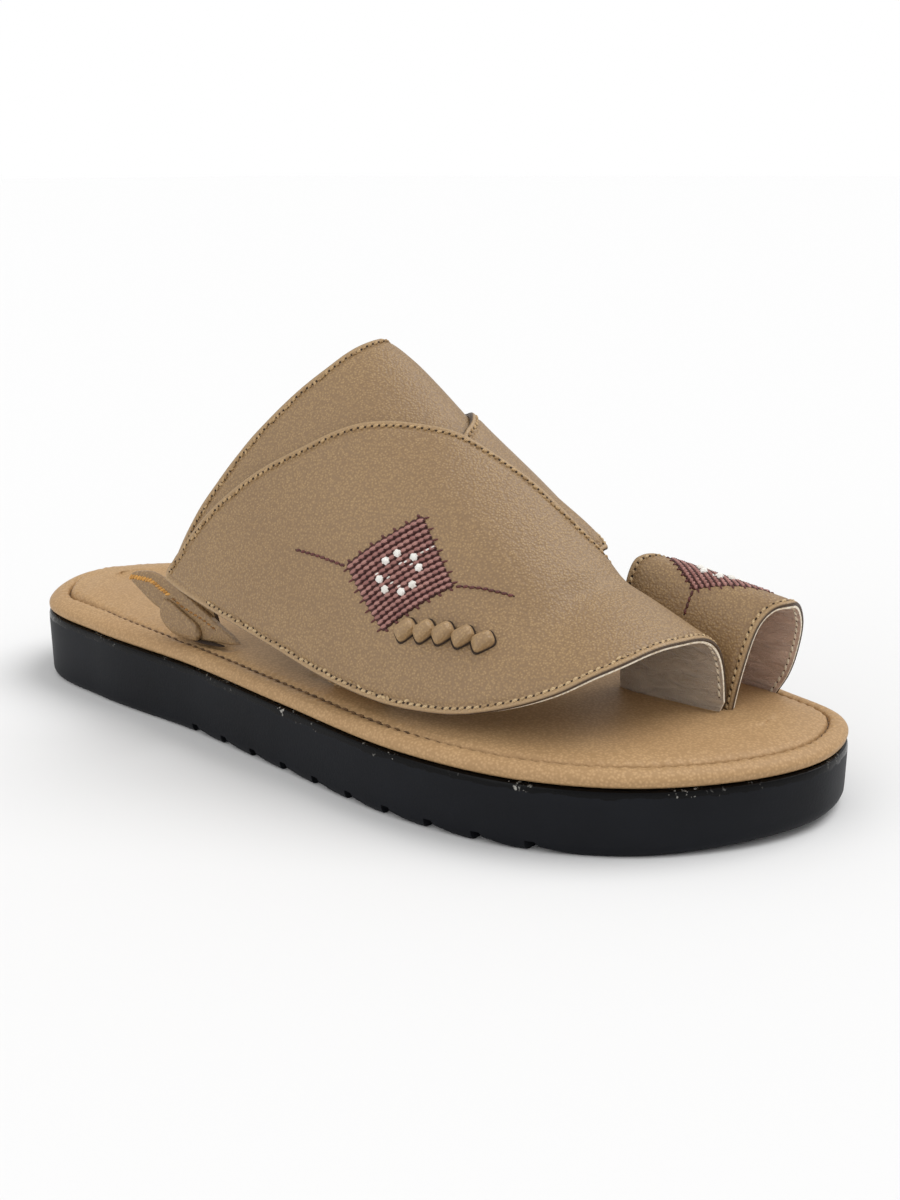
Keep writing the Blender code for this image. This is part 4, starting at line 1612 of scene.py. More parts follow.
@dataclass
class Insole:
    """Padded insole: rolled rim, stitched channel with puckers, and a crowned pad with folds at the heel."""

    side_points: int = 400
    wide_rim: Table = Table.numbered(
        "inset height",
        (1.4, 0.3),
        (0.3, 1.5),
        (0.5, 2.7),
        (1.8, 4.0),
        (4.0, 4.9),
        (6.4, 5.4),
        (8.2, 5.35),
        (9.2, 4.6),
        (10.2, 5.35),
        (12.0, 5.8),
        (15.0, 6.05),
        (19.0, 6.2),
    )
    rolled_rim: Table = Table.numbered(
        "inset height",
        (1.4, 0.3),
        (0.3, 1.3),
        (0.1, 2.4),
        (0.8, 3.6),
        (2.0, 4.4),
        (3.3, 4.65),
        (4.7, 4.5),
        (5.4, 4.2),
        (6.1, 4.6),
        (8.2, 5.4),
        (12.0, 5.95),
        (19.0, 6.2),
    )
    rolled: Table = Table(
        "x share",
        (-140, 0.75),
        (-125, 0.55),
        (-100, 0.25),
        (-75, 0.5),
        (-50, 0.9),
        (-30, 1.0),
        (140, 1.0),
    )
    channel_row: float = 7.0
    channel_half: float = 0.5
    channel_sink: float = 0.85
    heel_reach: Pair = (-118.0, -84.0)
    toe_reach: Pair = (35.0, 80.0)
    heel_plump: float = 1.1
    plump_rows: Pair = (7.3, 9.0)
    crown: float = 6.5
    pucker_pitch: float = 3.4
    pucker: float = 0.42
    pucker_width: float = 0.8
    puffs: tuple[Pair, ...] = ((-1.6, 0.44), (1.6, 0.36))
    puff_width: float = 1.3
    slot_dent: float = 0.7
    slot_width: float = 1.6
    fold_width: float = 2.4
    top_from: float = 3.0
    slots: tuple[tuple[float, float, float, float], ...] = (
        (78, 17.0, 108, 17.0),
        (80, 41.5, 108, 41.5),
        (77, 14.0, 106, 12.0),
        (4, -33.5, 32, -34.5),
        (4, 27.0, 32, 29.0),
        (-52, -33.5, -33, -32.5),
    )
    heel_folds: tuple[tuple[float, float, float, float, float], ...] = (
        (-126, -8, -112, -26, 0.55),
        (-118, -2, -98, -27, 0.5),
        (-107, 2, -86, -28, 0.42),
        (-94, 2, -76, -27, 0.32),
        (-128, 8, -118, 24, 0.42),
    )

    def build(self) -> None:
        """Lofts the insole and sews its channel."""
        outline = SoleOutline(self.side_points)
        channel, depth = self._section(self.channel_row, outline)
        lane = outline.inset(channel)
        gone = lengths(np.vstack([lane, lane[:1]]))
        stitches = round(gone[-1] / self.pucker_pitch)
        phase = 2 * np.pi * stitches * gone[:-1] / gone[-1]
        # The rows lie closest together round the channel.
        at = [np.linspace(0, 5, 27), np.linspace(5, 9, 34)[1:], np.linspace(9, 11, 10)[1:]]
        rings = []
        for row in np.concatenate(at):
            inset, height = self._section(row, outline)
            rings.append(self._ring(outline.inset(inset), height + self._puckers(inset - channel, phase)))
        pad = outline.inset(inset)
        for step in np.linspace(0.04, 0.5, 14):
            rise = height + (self.crown - height) * math.sin(math.pi * step)
            rings.append(self._ring(outline.towards_middle(pad, step), rise))
        inset, height = self._section(0.0, outline)
        base = outline.inset(inset)
        floor = [self._ring(outline.towards_middle(base, s), height) for s in (0.5, 0.3, 0.1)]
        piece = loft("padded_insole", floor + rings)
        keep_value(piece, "edge", np.full(len(piece.data.vertices), FAR_FROM_EDGE))
        dress(piece, INSOLE_LEATHER, node="insole", smooth=60.0)
        line = self._ring(lane, depth)
        line = np.vstack([line, line[:1]])
        INSOLE_STITCH.sew("insole_channel_stitches", line, np.tile([0.0, 0.0, 1.0], (len(line), 1)))

    def _section(self, row: float, outline: SoleOutline) -> tuple[Array, Array]:
        """Inset and height of a row of the rim, its channel deeper round the toes and the heel.

        Args:
            row: Number of the row, from the sole's edge inwards.
            outline: The sole's outline.

        Returns:
            Insets and heights round the sole.
        """
        at, x = np.array(row), outline.ring[:, 0]
        share = self.rolled.column("share", x)
        inset, height = (
            self.wide_rim.column(name, at) * (1 - share) + self.rolled_rim.column(name, at) * share
            for name in ("inset", "height")
        )
        heel = 1 - ramp(*self.heel_reach, x)
        ends = ramp(*self.toe_reach, x) + heel
        sink = self.channel_sink * ends * hump(at, self.channel_row, self.channel_half)
        return inset, height - sink + self.heel_plump * heel * ramp(*self.plump_rows, at)

    def _puckers(self, inset: Array, phase: Array) -> Array:
        """Pull of the stitches on the leather.

        Args:
            inset: Distance inwards from the channel.
            phase: Angle along the channel, one turn a stitch.

        Returns:
            Height that the pull adds.
        """
        pull = 0.5 - 0.5 * np.cos(phase)
        uneven = 0.7 + 0.3 * np.sin(phase / 7.3) * np.sin(phase / 3.1 + 1.0)
        dip = -self.pucker * hump(inset, 0.0, self.pucker_width)
        puff = sum(rise * hump(inset, place, self.puff_width) for place, rise in self.puffs)
        return (dip * (1 - pull) + puff * pull) * uneven

    def _ring(self, ring: Array, height: Array | float) -> Array:
        """A ring on the sole's top edge, with the dents of the strap slots and the heel's folds.

        Args:
            ring: Plan of the ring.
            height: Height over the sole's top edge.

        Returns:
            The ring's points.
        """
        z = sole_top(ring[:, 0]) + height
        if np.mean(height) > self.top_from:
            dents = [(*slot, self.slot_dent, self.slot_width) for slot in self.slots]
            dents += [(*fold, self.fold_width) for fold in self.heel_folds]
            for *ends, depth, width in dents:
                z = z - depth * hump(self._away(ring, *ends), 0.0, width)
        return np.column_stack([ring, z])

    @staticmethod
    def _away(spots: Array, x0: float, y0: float, x1: float, y1: float) -> Array:
        """Measures plan points from a straight stretch.

        Args:
            spots: Plan points.
            x0: Start of the stretch along the foot.
            y0: Start across the foot.
            x1: End along the foot.
            y1: End across the foot.

        Returns:
            One distance a point.
        """
        start, run = np.array([x0, y0]), np.array([x1 - x0, y1 - y0], float)
        t = np.clip(((spots - start) @ run) / (run @ run), 0.0, 1.0)
        return np.linalg.norm(spots - start - t[:, None] * run, axis=1)


# Upper


@dataclass
class Upper:
    """Instep band, inner flap and outer flap, three lined layers that cross on the instep."""

    wall: float = 1.8
    layer_pitch: float = 2.1
    tuck: float = 12.0
    tuck_height: float = 19.0
    flare: float = 3.6
    flare_x: Pair = (52.0, 68.0)
    flare_turn: Pair = (92.0, 104.0)
    flare_end: Pair = (130.0, 150.0)
    drape: Pair = (2.0, 12.0)
    drape_turn: Pair = (22.0, 4.0)
    seam_from_x: float = -31.0
    lip_from_x: float = 70.0
    band_half: tuple[Triple, ...] = (
        (0, 17, 32),
        (8, 12, 32),
        (14.5, -8, 32),
        (16.3, -28, 32),
        (18.3, -52, 32),
        (29, -44.5, 33),
        (41, -32.5, 36),
        (57, -17.5, 42),
        (70, -9, 48),
    )
    band_crest: Triple = (90, -3.5, 54)
    inner_rows: Table = Table(
        "turn rear_x front_x",
        (66, 35, 66),
        (80, 30.5, 70),
        (90, 28.5, 70),
        (104, 23, 68.5),
        (112, 18.5, 63),
        (125, 8, 58),
        (145, -10, 52),
        (158, -16, 46),
        (165, -6, 38),
        (168.5, 8, 26),
    )
    outer_rows: Table = Table.numbered(
        "edge_x edge_turn crest_x crest_turn",
        (-51, 18.2, -50.5, 20),
        (-44, 17.2, -45, 24.5),
        (-27, 15.6, -36, 31.5),
        (-6, 14, -22, 40),
        (19, 12, -4, 50.5),
        (40, 11.4, 12, 63.5),
        (58, 13.9, 30, 78),
        (73.5, 21.6, 48, 85),
        (88, 33.2, 61, 90),
        (94, 43.7, 69, 98),
        (99.5, 57, 74, 120),
        (103, 74, 75, 150),
        (105.5, 90, 76, 180),
        (106.8, 110, 86, 180),
        (108, 140, 97, 180),
        (108.6, 172, 106.5, 180),
    )

    def build(self) -> None:
        """Builds and sews the three layers."""
        band, _ = self._band().build(node="upper")
        TOP_STITCH.sew("band_rear_stitches", *band.seam(Side.NEAR, SEAM_INSET))
        inner, _ = self._inner_flap().build()
        TOP_STITCH.sew("inner_flap_rear_stitches", *inner.seam(Side.NEAR, SEAM_INSET))
        EDGE_STITCH.sew("inner_flap_front_stitches", *inner.seam(Side.FAR, SEAM_INSET))
        outer, lip = self._outer_flap().build()
        line, normals = outer.seam(Side.NEAR, SEAM_INSET)
        shown = line[:, 0] > self.seam_from_x
        EDGE_STITCH.sew("outer_flap_lower_stitches", line[shown], normals[shown])
        TOP_STITCH.sew("outer_flap_upper_stitches", *outer.seam(Side.FAR, SEAM_INSET))
        line, normals = lip.seam(Side.NEAR, LINING_SEAM_INSET)
        shown = line[:, 0] > self.lip_from_x
        LINING_STITCH.sew("lip_lining_stitches", line[shown], -normals[shown])

    def _tucked(self, points: Array) -> Array:
        """Draws band points in towards the foot near the insole, where the flaps flare away from it.

        Args:
            points: Grid of the band.

        Returns:
            The grid with its feet drawn in.
        """
        floor = sole_top(points[..., 0]) + SLOT_FLOOR
        pull = self.tuck * (1 - ramp(0.0, self.tuck_height, points[..., 2] - floor))
        moved = points.copy()
        moved[..., 1] -= np.sign(points[..., 1]) * pull
        return moved

    def _band(self) -> Strap:
        """Plans the instep band, the same on both sides of its crest.

        Returns:
            The strap.
        """
        mirrored = [(180 - turn, rear, front) for turn, rear, front in reversed(self.band_half)]
        return Strap(
            "instep_band",
            INSTEP,
            Table.crosswise([*self.band_half, self.band_crest, *mirrored]),
            lift=lambda x, turn: np.zeros_like(x),
            grow=self.wall,
            sides=(Side.NEAR, Side.FAR),
            grid=(170, 96),
            row_pull=0.0,
            tuck=self._tucked,
            lining=DARK_LINING_FOR_SHADE,
            backing=CUT_EDGE_AND_SHADE,
        )

    def inner_lift(self, x: Array, turn: Array) -> Array:
        """Height of the inner flap's outer face: its front corner stands up a little."""
        corner = ramp(*self.flare_x, x) * ramp(*self.flare_turn, turn) * (1 - ramp(*self.flare_end, turn))
        return self.layer_pitch + self.wall + self.flare * corner

    def _inner_flap(self) -> Strap:
        """Plans the flap on the inner side, its outer end under the outer flap.

        Returns:
            The strap.
        """
        return Strap(
            "inner_flap",
            INSTEP,
            Table.crosswise(self.inner_rows.rows),
            lift=self.inner_lift,
            grow=0.0,
            sides=(Side.NEAR, Side.FAR, Side.LAST),
            grid=(120, 72),
            lining=DARK_LINING_FOR_SHADE,
            backing=CUT_EDGE_AND_SHADE,
        )

    def outer_lift(self, x: Array, turn: Array) -> Array:
        """Height of the outer flap's outer face: higher where it lies on the inner flap's end.

        Args:
            x: Stations along the foot.
            turn: Degrees round the form.

        Returns:
            Heights off the form.
        """
        rear = self.inner_rows.column("rear_x", turn)
        front = self.inner_rows.column("front_x", turn)
        near, far = self.drape
        beside = ramp(rear - far, rear - near, x) * (1 - ramp(front + near, front + far, x))
        first = self.inner_rows.rows[0, 0]
        far, near = self.drape_turn
        over = beside * ramp(first - far, first - near, turn)
        return self.layer_pitch + self.wall + self.layer_pitch * over

    def outer_surface(self, x: Array, turn: Array, lift: float = 0.0) -> Array:
        """Points on the outer flap's outer face."""
        return INSTEP.lifted(x, turn, self.outer_lift(x, turn) + lift)

    def _outer_flap(self) -> Strap:
        """Plans the wide flap on the outer side, down to the slot beside the big toe.

        Returns:
            The strap.
        """
        return Strap(
            "outer_flap",
            INSTEP,
            self.outer_rows,
            lift=self.outer_lift,
            grow=0.0,
            sides=(Side.NEAR, Side.FAR, Side.FIRST),
            grid=(230, 104),
            fair_passes=8,
            creases=(
                Crease((-30, 27), (14, 56), width=4.0, height=-0.5, mm_per_degree=1.2),
                Crease((41, 29.8), (64, 37.9), width=4.5, height=-0.6, mm_per_degree=1.2),
            ),
        )


@dataclass
class ToeLoop:
    """Lined loop over the big toe, both ends in slots of the insole."""

    wall: float = 1.8
    rows: tuple[Triple, ...] = (
        (0, 78, 108.5),
        (30, 74, 111.3),
        (56, 72, 113.5),
        (73, 72.3, 116),
        (93, 75, 119.5),
        (125, 78, 118.8),
        (150, 79, 116.3),
        (164, 79.5, 113.8),
        (180, 80, 108.5),
    )

    def build(self) -> None:
        """Builds and sews the loop."""
        loop, inside = Strap(
            "toe_loop_strap",
            BIG_TOE,
            Table.crosswise(self.rows),
            lift=lambda x, turn: np.zeros_like(x),
            grow=self.wall,
            sides=(Side.NEAR, Side.FAR),
            grid=(120, 72),
            row_pull=0.0,
            lining=ROSE_LINING,
        ).build(node="toe_loop")
        EDGE_STITCH.sew("toe_loop_rear_stitches", *loop.seam(Side.NEAR, SEAM_INSET))
        EDGE_STITCH.sew("toe_loop_front_stitches", *loop.seam(Side.FAR, SEAM_INSET))
        line, normals = inside.seam(Side.FAR, LINING_SEAM_INSET)
        LINING_STITCH.sew("toe_loop_lining_stitches", line, -normals)

    def surface(self, x: Array, turn: Array, lift: float = 0.0) -> Array:
        """Points on the loop's outer face."""
        return BIG_TOE.lifted(x, turn, np.full(np.shape(x), self.wall + lift))


# Ornaments


@dataclass
class Ornament:
    """Square of cross stitches laid as a diamond, with a ring of white dots and stitched tails."""

    name: str
    surface: Callable[[Array, Array, float], Array]
    corners: tuple[Pair, ...]
    tails: tuple[tuple[Pair, Pair], ...]
    cells: int = 13
    dots: tuple[tuple[int, int], ...] = ((5, 3), (7, 3), (9, 5), (9, 7), (7, 9), (5, 9), (3, 7), (3, 5))
    flecks: tuple[Pair, ...] = (
        (10.4, 5.0),
        (11.3, 5.0),
        (12.2, 5.0),
        (8.2, 5.9),
        (6.8, 4.8),
        (7.6, 5.0),
        (3.0, 4.0),
        (4.4, 6.8),
        (5.1, 8.0),
        (4.3, 5.7),
    )
    bow: float = 0.5
    ground: Triple = (1.5, 1.5, 0.5)
    cord: Triple = (1.42, 0.74, 0.95)
    cord_lift: float = 0.1
    cord_leans: Pair = (0.3, 0.12)
    tie: Triple = (0.55, 0.36, 0.8)
    tie_place: Pair = (0.5, 0.3)
    tie_lift: float = 0.25
    tie_lean: float = 0.35
    fringe_lift: float = 0.05
    fringe_height: float = 0.7
    dot: Triple = (2.5, 1.55, 1.5)
    dot_lift: float = 0.3
    dot_strands: int = 3
    strand_step: float = 0.1
    fleck: Triple = (1.1, 0.5, 0.6)
    fleck_lift: float = 0.45

    def _spot(self, s: Array, t: Array) -> tuple[Array, Array]:
        """Station and turn of a place in the square.

        Args:
            s: Share along the first edge.
            t: Share along the second edge.

        Returns:
            Stations and turns.
        """
        a, b, c, d = (np.array(corner) for corner in self.corners)
        s, t = np.asarray(s, float)[..., None], np.asarray(t, float)[..., None]
        spot = a * (1 - s) * (1 - t) + b * s * (1 - t) + c * s * t + d * (1 - s) * t
        return spot[..., 0], spot[..., 1]

    def _frame(self, s: Array, t: Array, lift: float) -> tuple[Array, Array, Array, Array]:
        """Places on the leather with their directions.

        Args:
            s: Shares along the first edge.
            t: Shares along the second edge.
            lift: Height over the leather.

        Returns:
            Spots, steps of one cell along both edges, and normals.
        """
        step = 0.5 / self.cells

        def at(s: Array, t: Array) -> Array:
            """Points of the leather at places in the square."""
            return self.surface(*self._spot(s, t), lift)

        first = at(s + step, t) - at(s - step, t)
        second = at(s, t + step) - at(s, t - step)
        return at(s, t), first, second, upright(unit(np.cross(first, second)))

    def build(self) -> None:
        """Sews the square, its fringe, the dots and the tails."""
        both = np.meshgrid(np.arange(self.cells), np.arange(self.cells), indexing="ij")
        i, j = (number.ravel() for number in both)
        s, t = (i + 0.5) / self.cells, (j + 0.5) / self.cells
        here, first, second, up = self._frame(s, t, 0.0)
        long, wide = np.linalg.norm(first, axis=1), np.linalg.norm(second, axis=1)

        def sized(along: Array, across: Array, shares: Triple) -> Array:
            """Sizes of stitches: length and width as shares of a cell, and their height."""
            return np.column_stack([along * shares[0], across * shares[1], np.full(len(along), shares[2])])

        mould = Mould(bow=self.bow)
        # The ground under the cords and the ties across them are dark thread of painted shade for the gaps
        # between stitches.
        mould.press(self.name + "_ground", here, first, up, sized(long, wide, self.ground), SHADE_THREAD)
        spots = here + up * self.cord_lift
        runs = first + second * np.where(j % 2 == 0, *self.cord_leans)[:, None]
        mould.press(self.name + "_cords", spots, runs, up, sized(long, wide, self.cord), MAROON_THREAD)
        s, t = s + self.tie_place[0] / self.cells, t + self.tie_place[1] / self.cells
        here, first, second, up = self._frame(s, t, 0.0)
        spots = here + up * self.tie_lift
        runs = second + first * self.tie_lean
        mould.press(self.name + "_ties", spots, runs, up, sized(wide, long, self.tie), SHADE_THREAD)
        self._fringe(mould)
        self._white_dots()
        for k, (start, end) in enumerate(self.tails):
            self._tail(f"{self.name}_tail_{k + 1}", start, end)

    def _fringe(self, mould: Mould) -> None:
        """Sews the single stitches that stand out past the square's edges.

        Args:
            mould: Shape of the stitches.
        """
        places = (np.arange(0, self.cells, 2) + 0.5) / self.cells
        for name, reach, length, width, lean, alongside in (
            ("spikes", 0.42, 2.1, 0.62, 0.15, True),
            ("picots", 0.38, 1.25, 0.8, 0.5, False),
        ):
            out = reach / self.cells
            ends = [(-out, p) if alongside else (p, -out) for p in places]
            ends += [(1 + out, p) if alongside else (p, 1 + out) for p in places]
            s, t = np.array(ends).T
            here, first, second, up = self._frame(s, t, self.fringe_lift)
            runs = first + lean * second if alongside else second + lean * first
            sizes = np.tile([length, width, self.fringe_height], (len(runs), 1))
            mould.press(f"{self.name}_{name}", here, runs, up, sizes, DARK_MAROON_THREAD)

    def _white_dots(self) -> None:
        """Sews the ring of white dots, each a plump knot of crossing strands, and loose white flecks."""
        s, t = (np.array(self.dots, float).T + 0.5) / self.cells
        here, first, second, up = self._frame(s, t, self.dot_lift)
        turns = np.random.default_rng(7).uniform(0, np.pi, len(here))
        spots, runs = [], []
        for k in range(self.dot_strands):
            angle = (turns + k * np.pi / self.dot_strands)[:, None]
            spots.append(here + up * (self.strand_step * k))
            runs.append(unit(first) * np.cos(angle) + unit(second) * np.sin(angle))
        Mould(segments=8, rings=8, bow=0.3).press(
            self.name + "_white_dots",
            np.concatenate(spots),
            np.concatenate(runs),
            np.tile(up, (self.dot_strands, 1)),
            np.tile(self.dot, (self.dot_strands * len(here), 1)),
            WHITE_THREAD,
        )
        s, t = (np.array(self.flecks).T + 0.5) / self.cells
        here, first, _, up = self._frame(s, t, self.fleck_lift)
        sizes = np.tile(self.fleck, (len(here), 1))
        Mould().press(self.name + "_white_flecks", here, first, up, sizes, WHITE_THREAD)

    def _tail(self, name: str, start: Pair, end: Pair) -> None:
        """Sews a tail of close stitches.

        Args:
            name: Name of the tail.
            start: Station and turn where it leaves the square.
            end: Station and turn of its tip.
        """
        share = np.linspace(0, 1, 60)
        x = start[0] + (end[0] - start[0]) * share
        turn = start[1] + (end[1] - start[1]) * share
        line = self.surface(x, turn, 0.0)
        across = self.surface(x, turn + 0.5, 0.0) - line
        up = upright(unit(np.cross(np.gradient(line, axis=0), across)))
        TAIL_STITCH.sew(name, line, up)


@dataclass
class WovenKnots:
    """Lace woven through the outer flap, seen as a row of plump leather diamonds."""

    surface: Callable[[Array, Array, float], Array]
    count: int = 5
    x_range: Pair = (42.5, 62.6)
    turn_range: Pair = (30.3, 37.4)
    corners: tuple[Pair, ...] = ((-3.7, -1.9), (0.4, -4.9), (3.6, 1.3), (-0.4, 3.8))
    knot_grow: float = 0.92
    knot_rise: float = 3.3
    # Size and height of the dark ring of painted shade round each knot.
    slit_grow: float = 1.05
    slit_shadow_rise: float = 0.35
    shoulder: float = 0.75
    dome: float = 0.8
    root: float = 0.9
    outline_steps: int = 720
    rounding: int = 100

    def build(self) -> None:
        """Sets the row of knots and, round the foot of each, a dark ring of painted shade for the slit that
        it comes out of.
        """
        self._row("lace_knots", self.knot_grow, self.knot_rise, UPPER_LEATHER, node="woven_knots")
        self._row("lace_slit_shadows", self.slit_grow, self.slit_shadow_rise, SLIT_SHADOW)

    def _row(self, name: str, grow: float, rise: float, finish: Finish, node: str = "") -> None:
        """Shapes balls into plump diamonds in a row.

        Args:
            name: Name of the row.
            grow: Scale of the knot's outline.
            rise: Height over the flap.
            finish: Finish of the row.
            node: CAD node that the row stands for, if any.
        """
        xs = np.linspace(*self.x_range, self.count)
        turns = np.linspace(*self.turn_range, self.count)
        here = self.surface(xs, turns, 0.0)
        forward = unit(self.surface(xs + 1, turns, 0.0) - here)
        up = upright(unit(np.cross(forward, self.surface(xs, turns + 1, 0.0) - here)))
        side = np.cross(up, forward)
        knots = []
        for k in range(self.count):
            deselect_all()
            bpy.ops.mesh.primitive_uv_sphere_add(segments=56, ring_count=28)
            knot = bpy.context.object
            x, y, z = spots_of(knot).T
            angle = np.arctan2(y, x)
            reach = self._outline(angle) * np.hypot(x, y) ** self.shoulder * grow
            height = np.where(z > 0, rise * np.abs(z) ** self.dome, self.root * z)
            placed = here[k] + np.outer(reach * np.cos(angle), forward[k])
            placed += np.outer(reach * np.sin(angle), side[k]) + np.outer(height, up[k])
            place_spots(knot, placed)
            # The foot of a knot takes the dark of a burnished cut edge, as painted shade where it meets the
            # flap.
            keep_value(knot, "edge", (height - 0.3) * 0.5)
            knots.append(knot)
        pick_out(knots[0])
        for knot in knots:
            knot.select_set(True)
        bpy.ops.object.join()
        row = bpy.context.object
        row.name = name
        row.data.name = name
        dress(row, finish, node=node, smooth=180.0)

    def _outline(self, angle: Array) -> Array:
        """Measures the knot's rounded outline.

        Args:
            angle: Angles round the knot's middle.

        Returns:
            Distance from the middle to the outline at each angle.
        """
        ring = np.array([*self.corners, self.corners[0]])
        dense = resample(ring, np.linspace(0, lengths(ring)[-1], self.outline_steps + 1))[:-1]
        window = np.hanning(2 * self.rounding + 1)
        kernel = window / window.sum()
        padded = np.concatenate([dense[-self.rounding :], dense, dense[: self.rounding]])
        x, y = (np.convolve(padded[:, k], kernel, mode="valid") for k in range(2))
        around = np.arctan2(y, x)
        order = np.argsort(around)
        return np.interp(angle, around[order], np.hypot(x, y)[order], period=2 * np.pi)


@dataclass
class Ear:
    """Leather tab that closes the outer end of the band, with a rounded lobe on its face."""

    leaf: Table = Table.numbered(
        "x y low high seam",
        (-73.0, -34.9, 42.2, 43.6, 42.9),
        (-70.7, -34.8, 40.4, 44.8, 43.3),
        (-65.0, -34.3, 36.2, 45.6, 43.2),
        (-60.0, -33.9, 33.6, 44.7, 41.3),
        (-55.0, -33.5, 29.8, 42.5, 38.8),
        (-50.5, -33.1, 27.2, 40.4, 36.4),
        (-42.5, -32.5, 27.0, 36.2, 33.6),
        (-36.5, -32.0, 27.3, 32.4, 30.8),
        (-29.0, -31.5, 27.4, 28.4, 28.2),
    )
    # Place, height, run and size of a dark bead of painted shade in the insole's slot beside the leaf.
    slot: Pair = (-40.5, -34.0)
    slot_height: float = 6.2
    slot_run: Triple = (1.0, 0.09, 0.0)
    slot_size: Triple = (13.0, 2.4, 0.7)
    root_ends: Pair = (-52.0, -40.0)
    root_foot: Pair = (-30.0, 27.0)
    root_head: Pair = (-35.6, 46.0)
    root_bow: float = 1.5
    root_wall: float = 1.4
    root_puff: float = 0.3
    lobe: Table = Table.numbered(
        "x y low high",
        (-59.3, -35.7, 32.6, 36.0),
        (-57.5, -35.5, 29.8, 38.2),
        (-54.0, -35.2, 27.6, 37.2),
        (-50.0, -34.9, 26.8, 35.0),
        (-46.0, -34.6, 26.8, 32.9),
        (-43.4, -34.3, 27.4, 31.2),
    )
    leaf_thickness: float = 2.4
    leaf_square: float = 4.0
    lobe_thickness: float = 2.6
    lobe_square: float = 2.3
    tip_rows: float = 0.45
    tip_left: float = 0.02
    seam_start: float = 0.15
    seam_short: float = 1.2
    seam_sunk: float = 0.1
    seam_up: Triple = (0.0, -0.95, 0.3)
    amber_to: float = 3.9

    def build(self) -> None:
        """Builds the leaf, a dark bead of painted shade in its slot, the lobe and the stitches along the
        leaf's upper edge.
        """
        self._pillow("ear_leaf", self.leaf, self.leaf_thickness, self.leaf_square, node="ear")
        # A dark bead of painted shade stands in the insole's slot.
        floor = float(sole_top(np.array(self.slot[0]))) + self.slot_height
        Mould(segments=16, rings=12).press(
            "ear_slot_shadow",
            np.array([[*self.slot, floor]]),
            np.array([self.slot_run]),
            np.array([[0.0, 0.0, 1.0]]),
            np.array([self.slot_size]),
            SLIT_SHADOW,
        )
        self._pillow("ear_lobe", self.lobe, self.lobe_thickness, self.lobe_square)
        at = np.linspace(self.seam_start, self.leaf.last - self.seam_short, 80)
        x, y, seam = (self.leaf.column(n, at) for n in ("x", "y", "seam"))
        line = np.stack([x, y - self.leaf_thickness / 2 + self.seam_sunk, seam], axis=1)
        up = np.tile(self.seam_up, (len(line), 1))
        amber = at < self.amber_to
        EAR_STITCH.sew("ear_stitches", line[amber], up[amber])
        EAR_TAIL_STITCH.sew("ear_tail_stitches", line[~amber], up[~amber])
        self._root()

    def _root(self) -> None:
        """Builds the end of the strap that goes down into the insole behind the leaf."""
        share, along = np.meshgrid(np.linspace(0, 1, 12), np.linspace(*self.root_ends, 14))
        (y0, z0), (y1, z1) = self.root_foot, self.root_head
        y, z = y0 + (y1 - y0) * share**self.root_bow, z0 + (z1 - z0) * share
        outer, inner = (np.stack([along, y + wall, z], axis=-1) for wall in (0.0, self.root_wall))
        edge = np.full(share.shape, FAR_FROM_EDGE)
        dress(Strap.slab("ear_root", outer, inner, edge, self.root_puff), UPPER_LEATHER, CUT_EDGE_AND_SHADE)

    def _pillow(
        self, name: str, rows: Table, thickness: float, squareness: float, node: str = ""
    ) -> None:
        """Builds an upright leaf with rounded edges.

        Args:
            name: Name of the piece.
            rows: Stations with the lower and upper edge.
            thickness: Wall of the leaf.
            squareness: How square its section is, 2 for an ellipse.
            node: CAD node that it stands for, if any.
        """
        at = np.linspace(0.0, rows.last, 70)
        x, y, low, high = (rows.column(n, at)[:, None] for n in ("x", "y", "low", "high"))
        angle = np.linspace(0, 2 * np.pi, 49)[None]
        up, out = (np.sign(f) * np.abs(f) ** (2 / squareness) for f in (np.cos(angle), np.sin(angle)))
        body = np.sqrt(np.clip(np.minimum(at, rows.last - at)[:, None] / self.tip_rows, 0.0, 1.0))
        body = self.tip_left + (1 - self.tip_left) * body
        z = (low + high) / 2 + (high - low) / 2 * up * body
        piece = lay_grid(name, np.stack([x + 0 * z, y + thickness / 2 * out * body, z], axis=-1))
        close_mesh(piece)
        keep_value(piece, "edge", np.full(len(piece.data.vertices), FAR_FROM_EDGE))
        dress(piece, UPPER_LEATHER, node=node, smooth=180.0)


# Studio


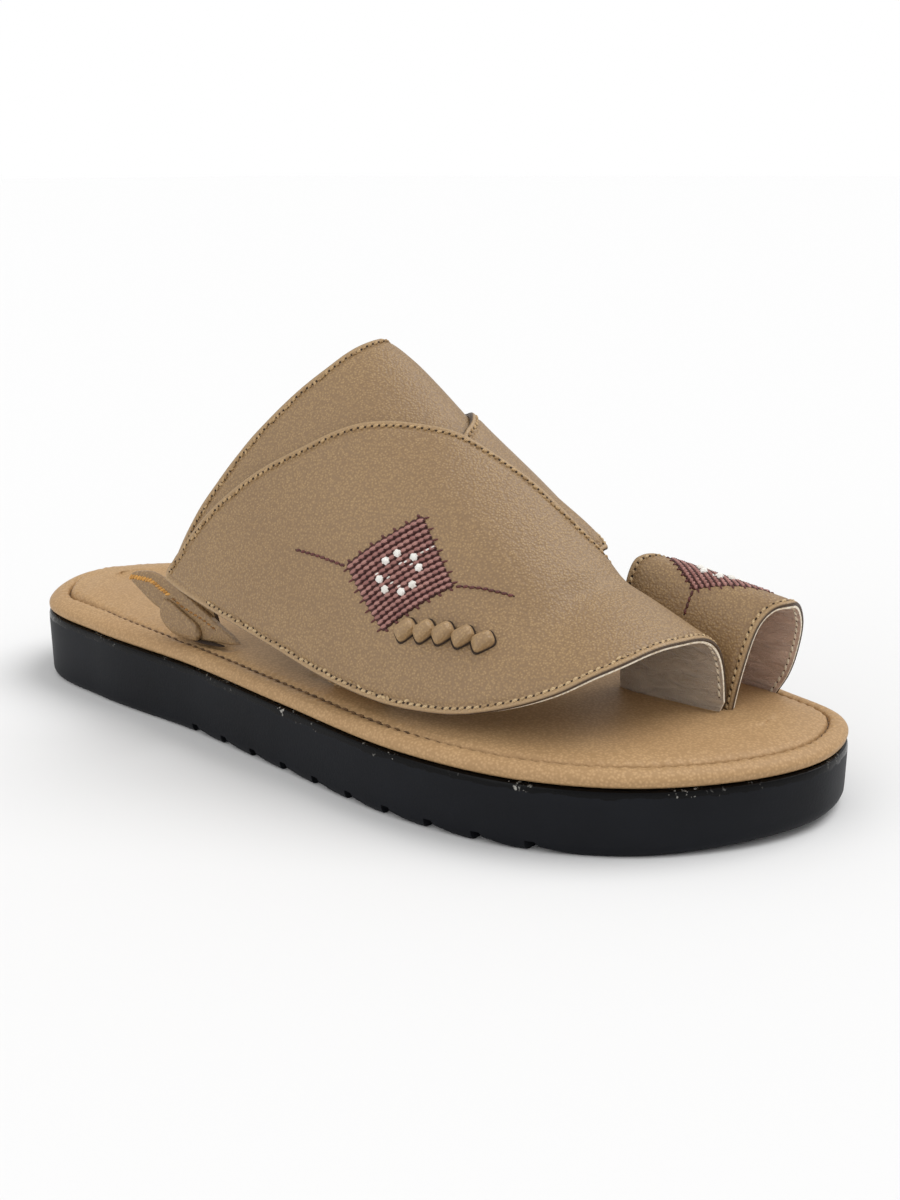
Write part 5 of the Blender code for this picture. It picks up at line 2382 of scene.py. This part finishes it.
@dataclass
class Studio:
    """White paper floor, soft lamps and a camera where the photographer stood."""

    azimuth: float = 38.5018
    elevation: float = 15.7003
    roll: float = -0.2668
    offset: Triple = (0.01993, 0.03834, 0.47596)
    focal_px: float = 1546.70
    frame_height_px: float = 1200.0
    sensor: float = 36.0
    lamps: tuple[tuple[Triple, float, float], ...] = (
        ((0.3, 0.45, 0.85), 45.0, 1.6),
        ((-0.2, -0.9, 0.6), 60.0, 0.75),
    )
    room_light: float = 0.7
    floor_size: float = 40.0
    nearest: float = 0.01

    def build(self) -> None:
        """Sets floor, lamps, sky and camera."""
        self._floor()
        self._lamps()
        self._camera()

    def _floor(self) -> None:
        """Lays the paper."""
        deselect_all()
        bpy.ops.mesh.primitive_grid_add(x_subdivisions=8, y_subdivisions=8, size=self.floor_size)
        floor = bpy.context.object
        floor.name = "paper_floor"
        floor.data.materials.append(StudioFloor("white_paper").material())
        floor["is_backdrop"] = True

    def _lamps(self) -> None:
        """Hangs the soft lamps and lights the sky."""
        for k, (spot, spread, power) in enumerate(self.lamps):
            deselect_all()
            bpy.ops.object.light_add(type="SUN", location=spot)
            lamp = bpy.context.object
            lamp.name = f"soft_lamp_{k + 1}"
            lamp.data.angle = math.radians(spread)
            lamp.data.energy = power
            lamp.rotation_euler = (-Vector(spot)).to_track_quat("-Z", "Y").to_euler()
        sky = bpy.data.worlds.new("white_room")
        sky.use_nodes = True
        shade = sky.node_tree.nodes["Background"]
        shade.inputs["Color"].default_value = (1.0, 1.0, 1.0, 1.0)
        # The wall behind the sandal is lit up to white, as in the photo, and the room itself is dimmer.
        seen = add_node(sky.node_tree, "ShaderNodeLightPath").outputs["Is Camera Ray"]
        wall = add_node(
            sky.node_tree,
            "ShaderNodeMapRange",
            {"Value": seen, "To Min": self.room_light, "To Max": 1.0},
        )
        sky.node_tree.links.new(wall.outputs["Result"], shade.inputs["Strength"])
        bpy.context.scene.world = sky
        bpy.context.scene.view_settings.view_transform = "Standard"

    def _camera(self) -> None:
        """Sets the camera by its angles and its place along its own axes."""
        az, el, roll = (math.radians(a) for a in (self.azimuth, self.elevation, self.roll))
        back = Vector((math.sin(az) * math.cos(el), -math.cos(az) * math.cos(el), math.sin(el)))
        right = Vector((math.cos(az), math.sin(az), 0.0))
        up = back.cross(right)
        turned = right * math.cos(roll) + up * math.sin(roll)
        up = up * math.cos(roll) - right * math.sin(roll)
        place = Matrix((turned, up, back)).transposed().to_4x4()
        place.translation = turned * self.offset[0] + up * self.offset[1] + back * self.offset[2]
        deselect_all()
        bpy.ops.object.camera_add()
        camera = bpy.context.object
        camera.matrix_world = place
        camera.data.sensor_width = self.sensor
        camera.data.lens = self.focal_px / self.frame_height_px * self.sensor
        camera.data.clip_start = self.nearest
        bpy.context.scene.camera = camera


def main() -> None:
    """Builds the sandal piece by piece."""
    logging.basicConfig(level=logging.INFO, format="%(name)s %(message)s")
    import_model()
    cad = [corner.copy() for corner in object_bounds()]
    Studio().build()
    Outsole().build()
    Insole().build()
    upper = Upper()
    upper.build()
    loop = ToeLoop()
    loop.build()
    Ear().build()
    WovenKnots(upper.outer_surface).build()
    Ornament(
        "flap_diamond",
        upper.outer_surface,
        ((19.7, 35.1), (34.8, 53.1), (49.9, 44.2), (36.0, 27.5)),
        (((19.0, 34.6), (1.0, 31.9)), ((50.5, 44.6), (65.1, 52.8))),
    ).build()
    Ornament(
        "loop_diamond",
        loop.surface,
        ((92.8, 66.5), (80.1, 96.0), (98.4, 135.0), (111.5, 99.0)),
        (((92.7, 65.0), (91.6, 44.0)),),
    ).build()


if __name__ == "__main__":
    main()
